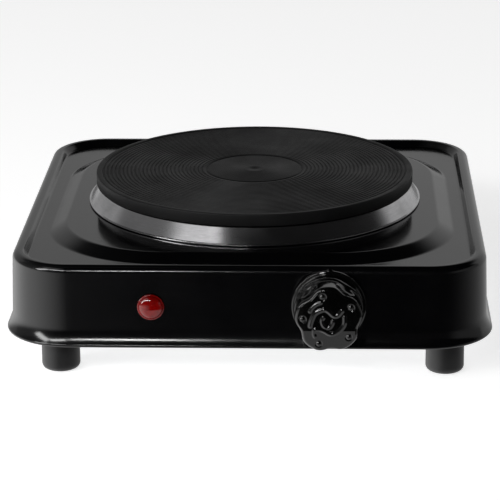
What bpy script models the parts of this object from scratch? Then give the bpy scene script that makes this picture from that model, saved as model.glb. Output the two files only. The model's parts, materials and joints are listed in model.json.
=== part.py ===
"""Single electric hot plate: a cast-iron plate on a pressed steel body with a thermostat knob.

The z axis is the plate's own axis direction, z = 0 is the worktop, -Y is the front with the knob.
Every piece is modelled about the plate's axis and hangs on the empty "assembly", which shifts the
whole object in Y so that the origin lies under the middle of its bounding box.
"""
import math

import bmesh
import bpy
from mathutils import Matrix, Vector

MM = 0.001
GAP = 0.3 * MM              # clearance between pieces that touch
SHEET = 0.8 * MM            # sheet steel

# Housing: half-widths are measured from the plate's axis to the flat of a side
SKIRT_Z = 27.5 * MM         # where the straight wall ends and the skirt flares out
SKIRT_HALF = 109.9 * MM
WALL_TOP_Z = 52.2 * MM
WALL_TOP_HALF = 109.1 * MM
CORNER_CENTRE = 81.5 * MM   # centre of the plan corners, the same at every height of the wall
FLARE_RADIUS = 14.0 * MM
FLARE_ANGLE = 35.0
LIP_RADIUS = 1.0 * MM
RIM_EDGE_RADIUS = 3.5 * MM
RIM_TOP_Z = WALL_TOP_Z + RIM_EDGE_RADIUS
RIM_FLAT = 1.0 * MM
TRAY_Z = RIM_TOP_Z - 3.0 * MM
TRAY_HALF = 101.3 * MM
FIELD_FOOT_HALF = 96.5 * MM
FIELD_FOOT_CORNER = 55.0 * MM
FIELD_HALF = 88.0 * MM
FIELD_CORNER = 50.0 * MM
FIELD_Z = 56.1 * MM
PLATE_OPENING = 72.5 * MM
CORNER_STEPS = 5

# Cast-iron plate and trim ring, as radii
PLATE_RADIUS = 77.5 * MM
PLATE_TOP_Z = 70.6 * MM
PLATE_EDGE_Z = 64.9 * MM    # underside of the overhanging edge
PLATE_EDGE_ROUND = 1.0 * MM
PLATE_NECK = 75.0 * MM
PLATE_BOTTOM_Z = 59.6 * MM
CHANNEL_TOP_Z = 65.2 * MM
OUTER_CHANNEL = (47.0 * MM, 69.0 * MM)
INNER_CHANNEL = (22.0 * MM, 42.0 * MM)
BORDER_RADIUS = 73.5 * MM   # the grooved field ends here
BORDER_STEP = 0.25 * MM
DIMPLE_RADIUS = 3.0 * MM
DIMPLE_DEPTH = 0.8 * MM
RING_TOP_RADIUS = 76.2 * MM
RING_TOP_Z = 64.0 * MM
RING_FOOT_RADIUS = 81.2 * MM
RING_FOOT_Z = FIELD_Z + 0.4 * MM
RING_THICK = 0.6 * MM
ROUND_STEPS = 48            # plate and trim ring
HIDDEN_STEPS = 32           # round pieces under the plate

# Stud and clamp bridge
STUD_RADIUS = 3.0 * MM
STUD_TOP_Z = 66.0 * MM
STUD_BOTTOM_Z = 36.0 * MM
COVER_TOP_Z = PLATE_BOTTOM_Z - GAP
COVER_RADIUS = 73.0 * MM
BRIDGE_THICK = 1.5 * MM
BRIDGE_WIDTH = 22.0 * MM
BRIDGE_TOP_Z = FIELD_Z - SHEET - GAP
BRIDGE_MIDDLE_Z = 47.5 * MM
BRIDGE_HALF = 83.0 * MM

# Heating coils
COIL_RADIUS = 1.8 * MM
COIL_Z = 61.9 * MM
OUTER_COIL = 58.0 * MM
INNER_COIL = 32.0 * MM
COIL_GAP_ANGLE = 9.0        # half of the arc left open between a coil's two ends
CUTOUT_PLACE = (0.0, -30.0 * MM, 0.0)

# Base plate, feet and corner brackets
BASE_Z = 19.6 * MM
BASE_HALF = 107.6 * MM
BASE_LIP = 4.0 * MM
FOOT_REACH = 89.0 * MM      # half the side of the square that the four feet stand on
FOOT_SHIFT = 1.6 * MM       # the square sits this far right of the plate's axis
FOOT_RADIUS = 8.9 * MM
FOOT_ROUND = 2.5 * MM
FOOT_BORE = 2.4 * MM
FOOT_WELL = 4.0 * MM
FOOT_WELL_Z = 9.0 * MM
FOOT_STEPS = 18
SLOT_LENGTH = 34.0 * MM
SLOT_WIDTH = 3.0 * MM
SLOT_PITCH = 7.0 * MM
SLOT_ROWS = (-46.0 * MM, 30.0 * MM)
SLOTS_PER_ROW = 5

# Knob and thermostat, on one axis through the front wall
KNOB_X = 37.0 * MM
KNOB_Z = 38.8 * MM
KNOB_LENGTH = 24.0 * MM     # from the wall to the crown of the face
KNOB_BACK = 2.0 * MM
KNOB_LOBES = 5
KNOB_LOBE_ANGLE = 22.0      # where the first lobe points, anticlockwise from +X seen from the front
KNOB_STEPS = 30
SHAFT_RADIUS = 3.0 * MM
SHAFT_FLAT = 1.7 * MM       # the flat's distance from the shaft's axis
SHAFT_TIP = -22.0 * MM
SHAFT_END = 15.0 * MM
PIN_RADIUS = 1.5 * MM
THERMOSTAT_SCREW_X = 10.5 * MM

# Indicator lamp
LAMP_X = -43.5 * MM
LAMP_Z = 37.0 * MM
LENS_RADIUS = 6.1 * MM
LENS_HEIGHT = 3.6 * MM
LENS_BARREL = 5.1 * MM
LENS_WALL = 1.0 * MM
LENS_DEPTH = 9.0 * MM

# Cord gland in the rear wall
GLAND_X = -60.0 * MM
GLAND_Z = 36.0 * MM
GLAND_BORE = 4.1 * MM
GLAND_BARREL = 6.8 * MM
GLAND_LENGTH = 10.2 * MM

# Terminal block on the base plate
BLOCK_CENTRE = (-38.0 * MM, 62.0 * MM)
BLOCK_SIZE = (36.0 * MM, 16.0 * MM, 14.0 * MM)
BLOCK_PITCH = 12.0 * MM
LEAD_RADIUS = 1.2 * MM

# Finish name: (colour, roughness, metallic)
FINISHES = {
    "gloss black enamel": ((0.006, 0.006, 0.007), 0.18, 0.0),
    "cast iron": ((0.03, 0.03, 0.032), 0.6, 0.4),
    "stainless": ((0.62, 0.61, 0.59), 0.25, 1.0),
    "zinc plated steel": ((0.55, 0.56, 0.58), 0.35, 1.0),
    "brass": ((0.7, 0.5, 0.2), 0.35, 1.0),
    "black plastic": ((0.008, 0.008, 0.008), 0.12, 0.0),
    "black rubber": ((0.02, 0.02, 0.02), 0.6, 0.0),
    "red lens": ((0.4, 0.01, 0.01), 0.1, 0.0),
    "clear glass": ((0.8, 0.75, 0.7), 0.05, 0.0),
    "ceramic": ((0.8, 0.78, 0.72), 0.5, 0.0),
    "magnesia": ((0.75, 0.74, 0.7), 0.9, 0.0),
    "resistance wire": ((0.3, 0.28, 0.26), 0.5, 1.0),
    "white silicone": ((0.7, 0.7, 0.68), 0.5, 0.0),
    "earth green": ((0.25, 0.4, 0.05), 0.5, 0.0),
}


# ---------------------------------------------------------------- scene and materials
def clear_scene():
    """Remove every object of the open file."""
    for old in list(bpy.data.objects):
        bpy.data.objects.remove(old, do_unlink=True)


def make_material(name, finish):
    """A Principled material of its own for one node."""
    colour, roughness, metallic = FINISHES[finish]
    material = bpy.data.materials.new(name)
    material.use_nodes = True
    shader = material.node_tree.nodes["Principled BSDF"]
    shader.inputs["Base Color"].default_value = (*colour, 1.0)
    shader.inputs["Roughness"].default_value = roughness
    shader.inputs["Metallic"].default_value = metallic
    return material


def add_empty(name, parent, location, tilt=0.0):
    """An empty that carries pieces; tilt turns it about X."""
    empty = bpy.data.objects.new(name, None)
    empty.parent = parent
    empty.location = location
    empty.rotation_euler = (math.radians(tilt), 0.0, 0.0)
    bpy.context.collection.objects.link(empty)
    return empty


def add_node(name, bm, finish, parent, location=(0, 0, 0), turn=0.0):
    """Turn a finished bmesh into a named object under its parent."""
    bmesh.ops.recalc_face_normals(bm, faces=bm.faces)
    mesh = bpy.data.meshes.new(name)
    bm.to_mesh(mesh)
    bm.free()
    mesh.shade_smooth()
    mesh.set_sharp_from_angle(angle=math.radians(30))
    node = bpy.data.objects.new(name, mesh)
    node.parent = parent
    node.location = location
    node.rotation_euler = (0.0, 0.0, math.radians(turn))
    mesh.materials.append(make_material(name, finish))
    bpy.context.collection.objects.link(node)
    return node


def add_tool(name, bm, parent, location=(0, 0, 0)):
    """A hidden mesh that a Boolean cuts with or adds."""
    tool = add_node(name, bm, "ceramic", parent, location)
    tool.hide_render = True
    tool.display_type = "WIRE"
    return tool


def combine(node, tool, operation="DIFFERENCE"):
    """Cut a node with a tool, or add the tool to it."""
    boolean = node.modifiers.new(tool.name, "BOOLEAN")
    boolean.operation = operation
    boolean.solver = "EXACT"
    boolean.object = tool


# ---------------------------------------------------------------- shapes
def arc(centre, radius, start, end, steps):
    """Points of a circular arc in a profile's plane, angles in degrees."""
    angles = [math.radians(start + (end - start) * i / steps) for i in range(steps + 1)]
    return [(centre[0] + radius * math.cos(a), centre[1] + radius * math.sin(a)) for a in angles]


def rounded_square(half, corner, z, steps=CORNER_STEPS):
    """Ring of points round a square with rounded corners."""
    inner = half - corner
    ring = []
    for quarter, (sx, sy) in enumerate(((1, 1), (-1, 1), (-1, -1), (1, -1))):
        for x, y in arc((sx * inner, sy * inner), corner, 90 * quarter, 90 * quarter + 90, steps):
            ring.append((x, y, z))
    return ring


def circle(radius, z, steps):
    """Ring of points round the z axis, or one point on it."""
    if radius == 0:
        return [(0.0, 0.0, z)]
    angles = [2 * math.pi * i / steps for i in range(steps)]
    return [(radius * math.cos(a), radius * math.sin(a), z) for a in angles]


def skin_rings(bm, rings, closed=False):
    """Faces between successive rings; a closed stack joins its last ring to its first."""
    loops = [[bm.verts.new(point) for point in ring] for ring in rings]
    pairs = list(zip(loops, loops[1:]))
    if closed:
        pairs.append((loops[-1], loops[0]))
    for low, high in pairs:
        count = max(len(low), len(high))
        for i in range(count):
            j = (i + 1) % count
            corners = (low[i % len(low)], low[j % len(low)], high[j % len(high)], high[i % len(high)])
            bm.faces.new(list(dict.fromkeys(corners)))
    if not closed:
        for end in (loops[0], loops[-1]):
            if len(end) > 2:
                bm.faces.new(end)


def turned(profile, steps, closed=False):
    """A turned body about z from (radius, z) points; closed joins the profile's ends."""
    bm = bmesh.new()
    skin_rings(bm, [circle(radius, z, steps) for radius, z in profile], closed)
    return bm


def extruded(outline, low, high, plane="XY"):
    """An outline pushed from low to high; plane XZ pushes along Y and YZ along X."""
    order = {"XY": (0, 1, 2), "XZ": (0, 2, 1), "YZ": (2, 0, 1)}[plane]
    bm = bmesh.new()
    rings = []
    for level in (low, high):
        raw = [(a, b, level) for a, b in outline]
        rings.append([tuple(point[i] for i in order) for point in raw])
    skin_rings(bm, rings)
    return bm


def box(x, y, z):
    """A block from three (low, high) pairs."""
    return extruded(((x[0], y[0]), (x[1], y[0]), (x[1], y[1]), (x[0], y[1])), z[0], z[1])


def rod(radius, low, high, steps=16):
    """A plain round bar along z."""
    return turned(((0, low), (radius, low), (radius, high), (0, high)), steps)


def lying(bm):
    """Turn a body made about z so that it lies along y."""
    bmesh.ops.rotate(bm, verts=bm.verts, matrix=Matrix.Rotation(math.radians(90), 3, "X"))
    return bm


def d_ring(radius, flat, z, steps):
    """Ring of a round shaft or bore with a flat on its lower side."""
    return [(x, max(y, -flat), level) for x, y, level in circle(radius, z, steps)]


def screw_body(head_radius, head_height, shank_radius, length, steps=10):
    """A pan-head screw that points down from z = 0 under its head, with a driver recess."""
    recess = head_radius * 0.45
    profile = ((0, head_height * 0.45), (recess, head_height * 0.5), (recess, head_height),
               (head_radius * 0.75, head_height), (head_radius, head_height * 0.55), (head_radius, 0),
               (shank_radius, 0), (shank_radius, -length + shank_radius), (0, -length))
    return turned(profile, steps)


def smooth_route(points, per_span=2):
    """A Catmull-Rom curve through a lead's route; its first and last stretches stay straight."""
    knots = [Vector(point) for point in points]
    route = [knots[0]]
    for before, start, end, after in zip(knots, knots[1:], knots[2:], knots[3:]):
        for i in range(per_span):
            t = i / per_span
            route.append(0.5 * (2 * start + (end - before) * t
                                + (2 * before - 5 * start + 4 * end - after) * t ** 2
                                + (3 * start - before - 3 * end + after) * t ** 3))
    return route + knots[-2:]


def add_tube(name, route, radius, finish, parent):
    """A round wire or tube that follows its route, with filled ends."""
    curve = bpy.data.curves.new(name, "CURVE")
    curve.dimensions = "3D"
    curve.bevel_depth = radius
    curve.bevel_resolution = 2
    curve.use_fill_caps = True
    spline = curve.splines.new("POLY")
    spline.points.add(len(route) - 1)
    for point, place in zip(spline.points, route):
        point.co = (*place, 1.0)
    curve.materials.append(make_material(name, finish))
    tube = bpy.data.objects.new(name, curve)
    tube.parent = parent
    bpy.context.collection.objects.link(tube)
    return tube


def wall_half(z):
    """Half-width of the drafted wall at a height."""
    rise = (z - SKIRT_Z) / (WALL_TOP_Z - SKIRT_Z)
    return SKIRT_HALF + (WALL_TOP_HALF - SKIRT_HALF) * rise


# ---------------------------------------------------------------- housing
def housing_section():
    """Outer skin from the lip up to the raised field, as (half-width, corner radius, z)."""
    flare = math.radians(FLARE_ANGLE)
    flare_centre = (SKIRT_HALF + FLARE_RADIUS, SKIRT_Z)
    flare_end = (flare_centre[0] - FLARE_RADIUS * math.cos(flare), SKIRT_Z - FLARE_RADIUS * math.sin(flare))
    lip_centre = (flare_end[0] - LIP_RADIUS * math.cos(flare), flare_end[1] - LIP_RADIUS * math.sin(flare))
    path = arc(lip_centre, LIP_RADIUS, -100, FLARE_ANGLE, 3)
    path += arc(flare_centre, FLARE_RADIUS, 180 + FLARE_ANGLE, 180, 3)[1:]
    path += arc((WALL_TOP_HALF - RIM_EDGE_RADIUS, WALL_TOP_Z), RIM_EDGE_RADIUS, 0, 90, 3)
    rim_inner = WALL_TOP_HALF - RIM_EDGE_RADIUS - RIM_FLAT
    drop = RIM_TOP_Z - TRAY_Z
    path += [(rim_inner, RIM_TOP_Z), (rim_inner - 0.25 * drop, RIM_TOP_Z - 0.12 * drop),
             (TRAY_HALF + 0.35 * drop, TRAY_Z + 0.2 * drop), (TRAY_HALF, TRAY_Z)]
    section = [(half, half - CORNER_CENTRE, z) for half, z in path]
    climb = FIELD_Z - TRAY_Z
    section += [(FIELD_FOOT_HALF, FIELD_FOOT_CORNER, TRAY_Z),
                (FIELD_FOOT_HALF - 1.5 * MM, FIELD_FOOT_CORNER - 1.0 * MM, TRAY_Z + 0.12 * climb),
                (FIELD_HALF + 1.5 * MM, FIELD_CORNER + 1.0 * MM, FIELD_Z - 0.12 * climb),
                (FIELD_HALF, FIELD_CORNER, FIELD_Z)]
    return section


def inset_section(section, depth):
    """The same skin one sheet thickness further in, measured square to its path."""
    inset = []
    for i, (half, corner, z) in enumerate(section):
        before = section[max(i - 1, 0)]
        after = section[min(i + 1, len(section) - 1)]
        along = Vector((after[0] - before[0], after[2] - before[2])).normalized()
        inward = (half - along.y * depth, z + along.x * depth)
        inset.append((inward[0], corner - (half - inward[0]), inward[1]))
    return inset


def build_housing(assembly):
    """Pressed shell with its openings for plate, knob, lamp and cord."""
    outer = housing_section()
    lip_points = 2
    inner = inset_section(outer[lip_points:], SHEET)
    inner[0] = (inner[0][0] - SHEET, inner[0][1] - SHEET, outer[0][2] + SHEET)
    rings = [rounded_square(*level) for level in reversed(inner)]
    rings += [rounded_square(*level) for level in outer]
    bm = bmesh.new()
    skin_rings(bm, rings)
    housing = add_node("housing", bm, "gloss black enamel", assembly)
    opening = rod(PLATE_OPENING, FIELD_Z - 5 * MM, FIELD_Z + 5 * MM, ROUND_STEPS)
    combine(housing, add_tool("cut_plate_opening", opening, assembly))
    holes = (("cut_bush", KNOB_X, KNOB_Z, 5.8 * MM, -1), ("cut_lamp", LAMP_X, LAMP_Z, 5.6 * MM, -1),
             ("cut_screw_left", KNOB_X - THERMOSTAT_SCREW_X, KNOB_Z, 1.9 * MM, -1),
             ("cut_screw_right", KNOB_X + THERMOSTAT_SCREW_X, KNOB_Z, 1.9 * MM, -1),
             ("cut_gland", GLAND_X, GLAND_Z, 7.3 * MM, 1))
    for name, x, z, radius, side in holes:
        hole = lying(rod(radius, -6 * MM, 6 * MM))
        combine(housing, add_tool(name, hole, assembly, (x, side * wall_half(z), z)))


def build_base(assembly):
    """Bottom tray with cooling slots, four feet, their screws and the corner brackets."""
    corner = BASE_HALF - CORNER_CENTRE
    top = BASE_Z + SHEET
    lip_top = BASE_Z + BASE_LIP
    levels = ((BASE_HALF - SHEET, corner - SHEET, top), (BASE_HALF - SHEET, corner - SHEET, lip_top),
              (BASE_HALF, corner, lip_top), (BASE_HALF, corner, top),
              (BASE_HALF - SHEET, corner - SHEET, BASE_Z))
    bm = bmesh.new()
    skin_rings(bm, [rounded_square(*level) for level in levels])
    base = add_node("base_plate", bm, "zinc plated steel", assembly)
    end = SLOT_LENGTH / 2 - SLOT_WIDTH / 2
    slot = arc((end, 0), SLOT_WIDTH / 2, -90, 90, 3) + arc((-end, 0), SLOT_WIDTH / 2, 90, 270, 3)
    for row, y in enumerate(SLOT_ROWS):
        for i in range(SLOTS_PER_ROW):
            place = (38 * MM, y + (i - 2) * SLOT_PITCH, 0)
            cutter = extruded(slot, BASE_Z - 2 * MM, BASE_Z + 2 * MM)
            combine(base, add_tool(f"cut_slot_{row}_{i}", cutter, assembly, place))
    for place in base_screw_places():
        hole = rod(1.9 * MM, BASE_Z - 2 * MM, BASE_Z + 2 * MM, 12)
        combine(base, add_tool("cut_base_screw", hole, assembly, (*place, 0)))
    for side, sx in (("left", -1), ("right", 1)):
        for end_name, sy in (("front", -1), ("rear", 1)):
            place = (sx * FOOT_REACH + FOOT_SHIFT, sy * FOOT_REACH, 0)
            hole = rod(FOOT_BORE, BASE_Z - 2 * MM, BASE_Z + 2 * MM)
            combine(base, add_tool("cut_foot_screw", hole, assembly, place))
            outward = math.degrees(math.atan2(sy, sx))
            build_corner(assembly, f"{end_name}_{side}", place, outward)


def build_corner(assembly, corner_name, place, outward):
    """One foot, the screw up through it and the bracket that the screw pulls down on."""
    foot_top = BASE_Z - GAP
    rounding = arc((FOOT_RADIUS - FOOT_ROUND, FOOT_ROUND), FOOT_ROUND, -90, 0, 2)
    profile = [(FOOT_WELL, 0), *rounding, (FOOT_RADIUS, foot_top), (FOOT_BORE, foot_top),
               (FOOT_BORE, FOOT_WELL_Z), (FOOT_WELL, FOOT_WELL_Z)]
    add_node(f"foot_{corner_name}", turned(profile, FOOT_STEPS, True), "black rubber", assembly, place)

    screw = screw_body(3.3 * MM, 2.4 * MM, 1.9 * MM, 15 * MM)
    bmesh.ops.rotate(screw, verts=screw.verts, matrix=Matrix.Rotation(math.pi, 3, "X"))
    head = Vector((*place[:2], FOOT_WELL_Z - GAP))
    add_node(f"foot_screw_{corner_name}", screw, "zinc plated steel", assembly, head)

    low = BASE_Z + SHEET + GAP
    thick = 1.2 * MM
    leg = 11.8 * MM             # rises inside the base plate's lip
    wall_leg = 13.8 * MM        # then steps out to the wall
    step = 25 * MM
    leg_top = 40 * MM
    tail = -8 * MM
    bend = ((tail, low), (leg, low), (leg, step), (wall_leg, step + thick), (wall_leg, leg_top),
            (wall_leg - thick, leg_top), (wall_leg - thick, step + 2 * thick), (leg - thick, step + thick),
            (leg - thick, low + thick), (tail, low + thick))
    strip = extruded(bend, -5.4 * MM, 5.4 * MM, "XZ")
    bracket = add_node(f"corner_bracket_{corner_name}", strip, "zinc plated steel", assembly, place, outward)
    hole = rod(FOOT_BORE, low - 2 * MM, low + 4 * MM)
    combine(bracket, add_tool("cut_bracket", hole, assembly, place))


# ---------------------------------------------------------------- plate and heating
def build_plate(assembly):
    """Cast-iron plate with its coil channels, and the conical trim ring round it."""
    edge = arc((PLATE_RADIUS - PLATE_EDGE_ROUND, PLATE_TOP_Z - PLATE_EDGE_ROUND), PLATE_EDGE_ROUND, 90, 0, 3)
    bore = STUD_RADIUS + GAP
    border_z = PLATE_TOP_Z - BORDER_STEP
    profile = [(0, PLATE_TOP_Z - DIMPLE_DEPTH), (DIMPLE_RADIUS, border_z),
               (BORDER_RADIUS - BORDER_STEP, border_z), (BORDER_RADIUS, PLATE_TOP_Z), *edge,
               (PLATE_RADIUS, PLATE_EDGE_Z), (PLATE_NECK, PLATE_EDGE_Z), (PLATE_NECK, PLATE_BOTTOM_Z)]
    for inner, outer in (OUTER_CHANNEL, INNER_CHANNEL):
        profile += [(outer, PLATE_BOTTOM_Z), (outer, CHANNEL_TOP_Z), (inner, CHANNEL_TOP_Z),
                    (inner, PLATE_BOTTOM_Z)]
    profile += [(bore, PLATE_BOTTOM_Z), (bore, STUD_TOP_Z + GAP), (0, STUD_TOP_Z + GAP)]
    add_node("hotplate", turned(profile, ROUND_STEPS), "cast iron", assembly)

    lip = PLATE_NECK + 0.5 * MM
    skin = [(lip, RING_TOP_Z + 0.4 * MM), (RING_TOP_RADIUS, RING_TOP_Z),
            (RING_FOOT_RADIUS - 0.4 * MM, RING_FOOT_Z + 0.7 * MM), (RING_FOOT_RADIUS, RING_FOOT_Z)]
    under = [(RING_FOOT_RADIUS - 1.2 * RING_THICK, RING_FOOT_Z),
             (RING_FOOT_RADIUS - 0.4 * MM - 1.2 * RING_THICK, RING_FOOT_Z + 0.7 * MM),
             (RING_TOP_RADIUS - 0.4 * MM, RING_TOP_Z - RING_THICK), (lip, RING_TOP_Z - RING_THICK)]
    add_node("trim_ring", turned(skin + under, ROUND_STEPS, True), "stainless", assembly)


def build_element(assembly):
    """Coils bedded in magnesia, the cover under them and the thermal cut-out."""
    wide = 0.5 * MM
    groove = COIL_RADIUS + 0.8 * MM
    sections = (("outer", OUTER_CHANNEL, OUTER_COIL), ("inner", INNER_CHANNEL, INNER_COIL))
    for name, channel, coil in sections:
        low = PLATE_BOTTOM_Z + 2 * GAP
        high = CHANNEL_TOP_Z - GAP
        ceiling = COIL_Z + groove
        fill = ((channel[0] + wide, low), (channel[0] + wide, high), (channel[1] - wide, high),
                (channel[1] - wide, low), (coil + groove, low), (coil + groove, ceiling),
                (coil - groove, ceiling), (coil - groove, low))
        add_node(f"magnesia_{name}", turned(fill, HIDDEN_STEPS, True), "magnesia", assembly)
        add_tube(f"heating_coil_{name}", coil_route(coil), COIL_RADIUS, "resistance wire", assembly)

    low = COVER_TOP_Z - SHEET
    cover_profile = ((STUD_RADIUS + 1.2 * MM, low), (STUD_RADIUS + 1.2 * MM, COVER_TOP_Z),
                     (COVER_RADIUS, COVER_TOP_Z), (COVER_RADIUS, low))
    cover = add_node("plate_cover", turned(cover_profile, HIDDEN_STEPS, True), "zinc plated steel", assembly)
    for name, _, coil in sections:
        for side in (-1, 1):
            x, y = coil_end(coil, side)
            hole = rod(COIL_RADIUS + 1.6 * MM, low - 2 * MM, COVER_TOP_Z + 2 * MM, 12)
            combine(cover, add_tool(f"cut_{name}_end", hole, assembly, (x, y, 0)))

    cutout_top = low - GAP
    cutout_profile = ((0, cutout_top - 8 * MM), (6 * MM, cutout_top - 8 * MM), (6 * MM, cutout_top - 3 * MM),
                      (8 * MM, cutout_top - 2.4 * MM), (8 * MM, cutout_top), (0, cutout_top))
    cutout = add_node("thermal_cutout", turned(cutout_profile, 20), "ceramic", assembly, CUTOUT_PLACE)
    for side in (-1, 1):
        tab = box((side * 4 * MM - 0.4 * MM, side * 4 * MM + 0.4 * MM), (-2.4 * MM, 2.4 * MM),
                  (cutout_top - 14 * MM, cutout_top - 7 * MM))
        combine(cutout, add_tool("cutout_tab", tab, assembly, CUTOUT_PLACE), "UNION")


def coil_end(coil, side):
    """Where a coil's end turns down; side is -1 or 1 from the rear middle."""
    angle = math.radians(90 - side * COIL_GAP_ANGLE * OUTER_COIL / coil)
    return coil * math.cos(angle), coil * math.sin(angle)


def coil_route(coil):
    """One ring of coil from its first end round to its last, each end turned down."""
    opening = COIL_GAP_ANGLE * OUTER_COIL / coil
    ring = arc((0, 0), coil, 90 + opening, 450 - opening, 28)
    route = [Vector((x, y, COIL_Z)) for x, y in ring]
    drop = 0.8 * MM
    first, last = route[0], route[-1]
    start = [first - Vector((0, 0, 10 * MM)), first - Vector((0, 0, drop))]
    end = [last - Vector((0, 0, drop)), last - Vector((0, 0, 10 * MM))]
    return start + route[1:-1] + end


def build_clamping(assembly):
    """Stud, bridge, washer and nut that pull the plate down on to the housing."""
    stud = ((0, STUD_BOTTOM_Z), (STUD_RADIUS - 0.5 * MM, STUD_BOTTOM_Z),
            (STUD_RADIUS, STUD_BOTTOM_Z + 0.5 * MM), (STUD_RADIUS, STUD_TOP_Z), (0, STUD_TOP_Z))
    add_node("plate_stud", turned(stud, 12), "zinc plated steel", assembly)

    flat = 12 * MM
    step = 14 * MM
    right = [(flat + step, BRIDGE_MIDDLE_Z), (BRIDGE_HALF - step, BRIDGE_TOP_Z), (BRIDGE_HALF, BRIDGE_TOP_Z)]
    upper = [(-x, z) for x, z in reversed(right)] + right
    lower = [(x, z - BRIDGE_THICK) for x, z in reversed(upper)]
    strap = extruded(upper + lower, -BRIDGE_WIDTH / 2, BRIDGE_WIDTH / 2, "XZ")
    bridge = add_node("clamp_bridge", strap, "zinc plated steel", assembly)
    hole = rod(STUD_RADIUS + GAP, BRIDGE_MIDDLE_Z - 4 * MM, BRIDGE_MIDDLE_Z + 2 * MM)
    combine(bridge, add_tool("cut_bridge", hole, assembly))

    washer_top = BRIDGE_MIDDLE_Z - BRIDGE_THICK - GAP
    bore = STUD_RADIUS + GAP
    washer_low = washer_top - 1 * MM
    ring = ((bore, washer_low), (6 * MM, washer_low), (6 * MM, washer_top), (bore, washer_top))
    add_node("stud_washer", turned(ring, 16, True), "zinc plated steel", assembly)
    nut_top = washer_low - GAP
    add_node("stud_nut", hex_nut(5.8 * MM, bore, nut_top - 5 * MM, nut_top), "zinc plated steel", assembly)


def hex_nut(corner, bore, low, high):
    """Hexagonal nut as a closed stack of rings, its bore following the same twelve points."""
    bm = bmesh.new()
    outline = []
    for i in range(12):
        reach = corner if i % 2 == 0 else corner * math.cos(math.radians(30))
        outline.append((reach * math.cos(math.radians(30 * i)), reach * math.sin(math.radians(30 * i))))
    outer = [[(x, y, z) for x, y in outline] for z in (low, high)]
    skin_rings(bm, [circle(bore, low, 12), outer[0], outer[1], circle(bore, high, 12)], True)
    return bm


# ---------------------------------------------------------------- knob and thermostat
def knob_ring(z, radius, lobe):
    """Ring of the knob's lobed outline at a distance from the wall."""
    ring = []
    for i in range(KNOB_STEPS):
        angle = 2 * math.pi * i / KNOB_STEPS
        wave = math.cos(KNOB_LOBES * (angle - math.radians(KNOB_LOBE_ANGLE)))
        reach = radius + lobe * wave
        ring.append((reach * math.cos(angle), reach * math.sin(angle), z))
    return ring


def build_knob(turning):
    """Knob, shaft and knob spring, which turn together; +z points out of the front wall."""
    # distance from the wall, then radius and height of the lobes in millimetres
    outside = ((KNOB_BACK, 16.5, 0.0), (2.5 * MM, 16.9, 0.0), (3.9 * MM, 16.9, 0.0), (4.4 * MM, 16.4, 0.0),
               (5.0 * MM, 15.0, 0.1), (10.5 * MM, 15.5, 0.45), (14.0 * MM, 14.8, 0.7), (21.2 * MM, 14.3, 0.8),
               (22.5 * MM, 14.0, 0.85), (23.2 * MM, 13.2, 0.8), (23.8 * MM, 7.0, 0.0))
    hub = 5.8 * MM
    hub_back = KNOB_BACK + 0.4 * MM
    hollow_end = SHAFT_END + 1.0 * MM
    cavity_end = KNOB_BACK + 2.4 * MM
    bore = SHAFT_RADIUS + GAP
    bore_end = SHAFT_END + 2 * GAP
    slot = SHAFT_FLAT + 1.0 * MM
    rings = [d_ring(bore, slot, bore_end, KNOB_STEPS), d_ring(bore, slot, hub_back, KNOB_STEPS)]
    for radius, z in ((hub, hub_back), (hub, hollow_end), (11.2 * MM, hollow_end), (11.6 * MM, cavity_end),
                      (13.7 * MM, cavity_end), (13.7 * MM, KNOB_BACK)):
        rings.append(circle(radius, z, KNOB_STEPS))
    rings += [knob_ring(z, radius * MM, lobe * MM) for z, radius, lobe in outside]
    rings.append([(0, 0, KNOB_LENGTH)])
    bm = bmesh.new()
    skin_rings(bm, rings)
    add_node("knob", bm, "black plastic", turning)

    shaft = bmesh.new()
    skin_rings(shaft, [circle(PIN_RADIUS, SHAFT_TIP, 20), circle(PIN_RADIUS, SHAFT_TIP + 2 * MM, 20),
                       circle(SHAFT_RADIUS, SHAFT_TIP + 2 * MM, 20), circle(SHAFT_RADIUS, 1.6 * MM, 20),
                       d_ring(SHAFT_RADIUS, SHAFT_FLAT, 1.6 * MM, 20),
                       d_ring(SHAFT_RADIUS, SHAFT_FLAT, SHAFT_END, 20)])
    bmesh.ops.remove_doubles(shaft, verts=shaft.verts, dist=1e-6)
    add_node("thermostat_shaft", shaft, "zinc plated steel", turning)

    spring_top = -SHAFT_FLAT - GAP
    spring = box((-1.6 * MM, 1.6 * MM), (spring_top - 0.4 * MM, spring_top), (4 * MM, 13 * MM))
    add_node("knob_spring", spring, "zinc plated steel", turning)


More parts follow.
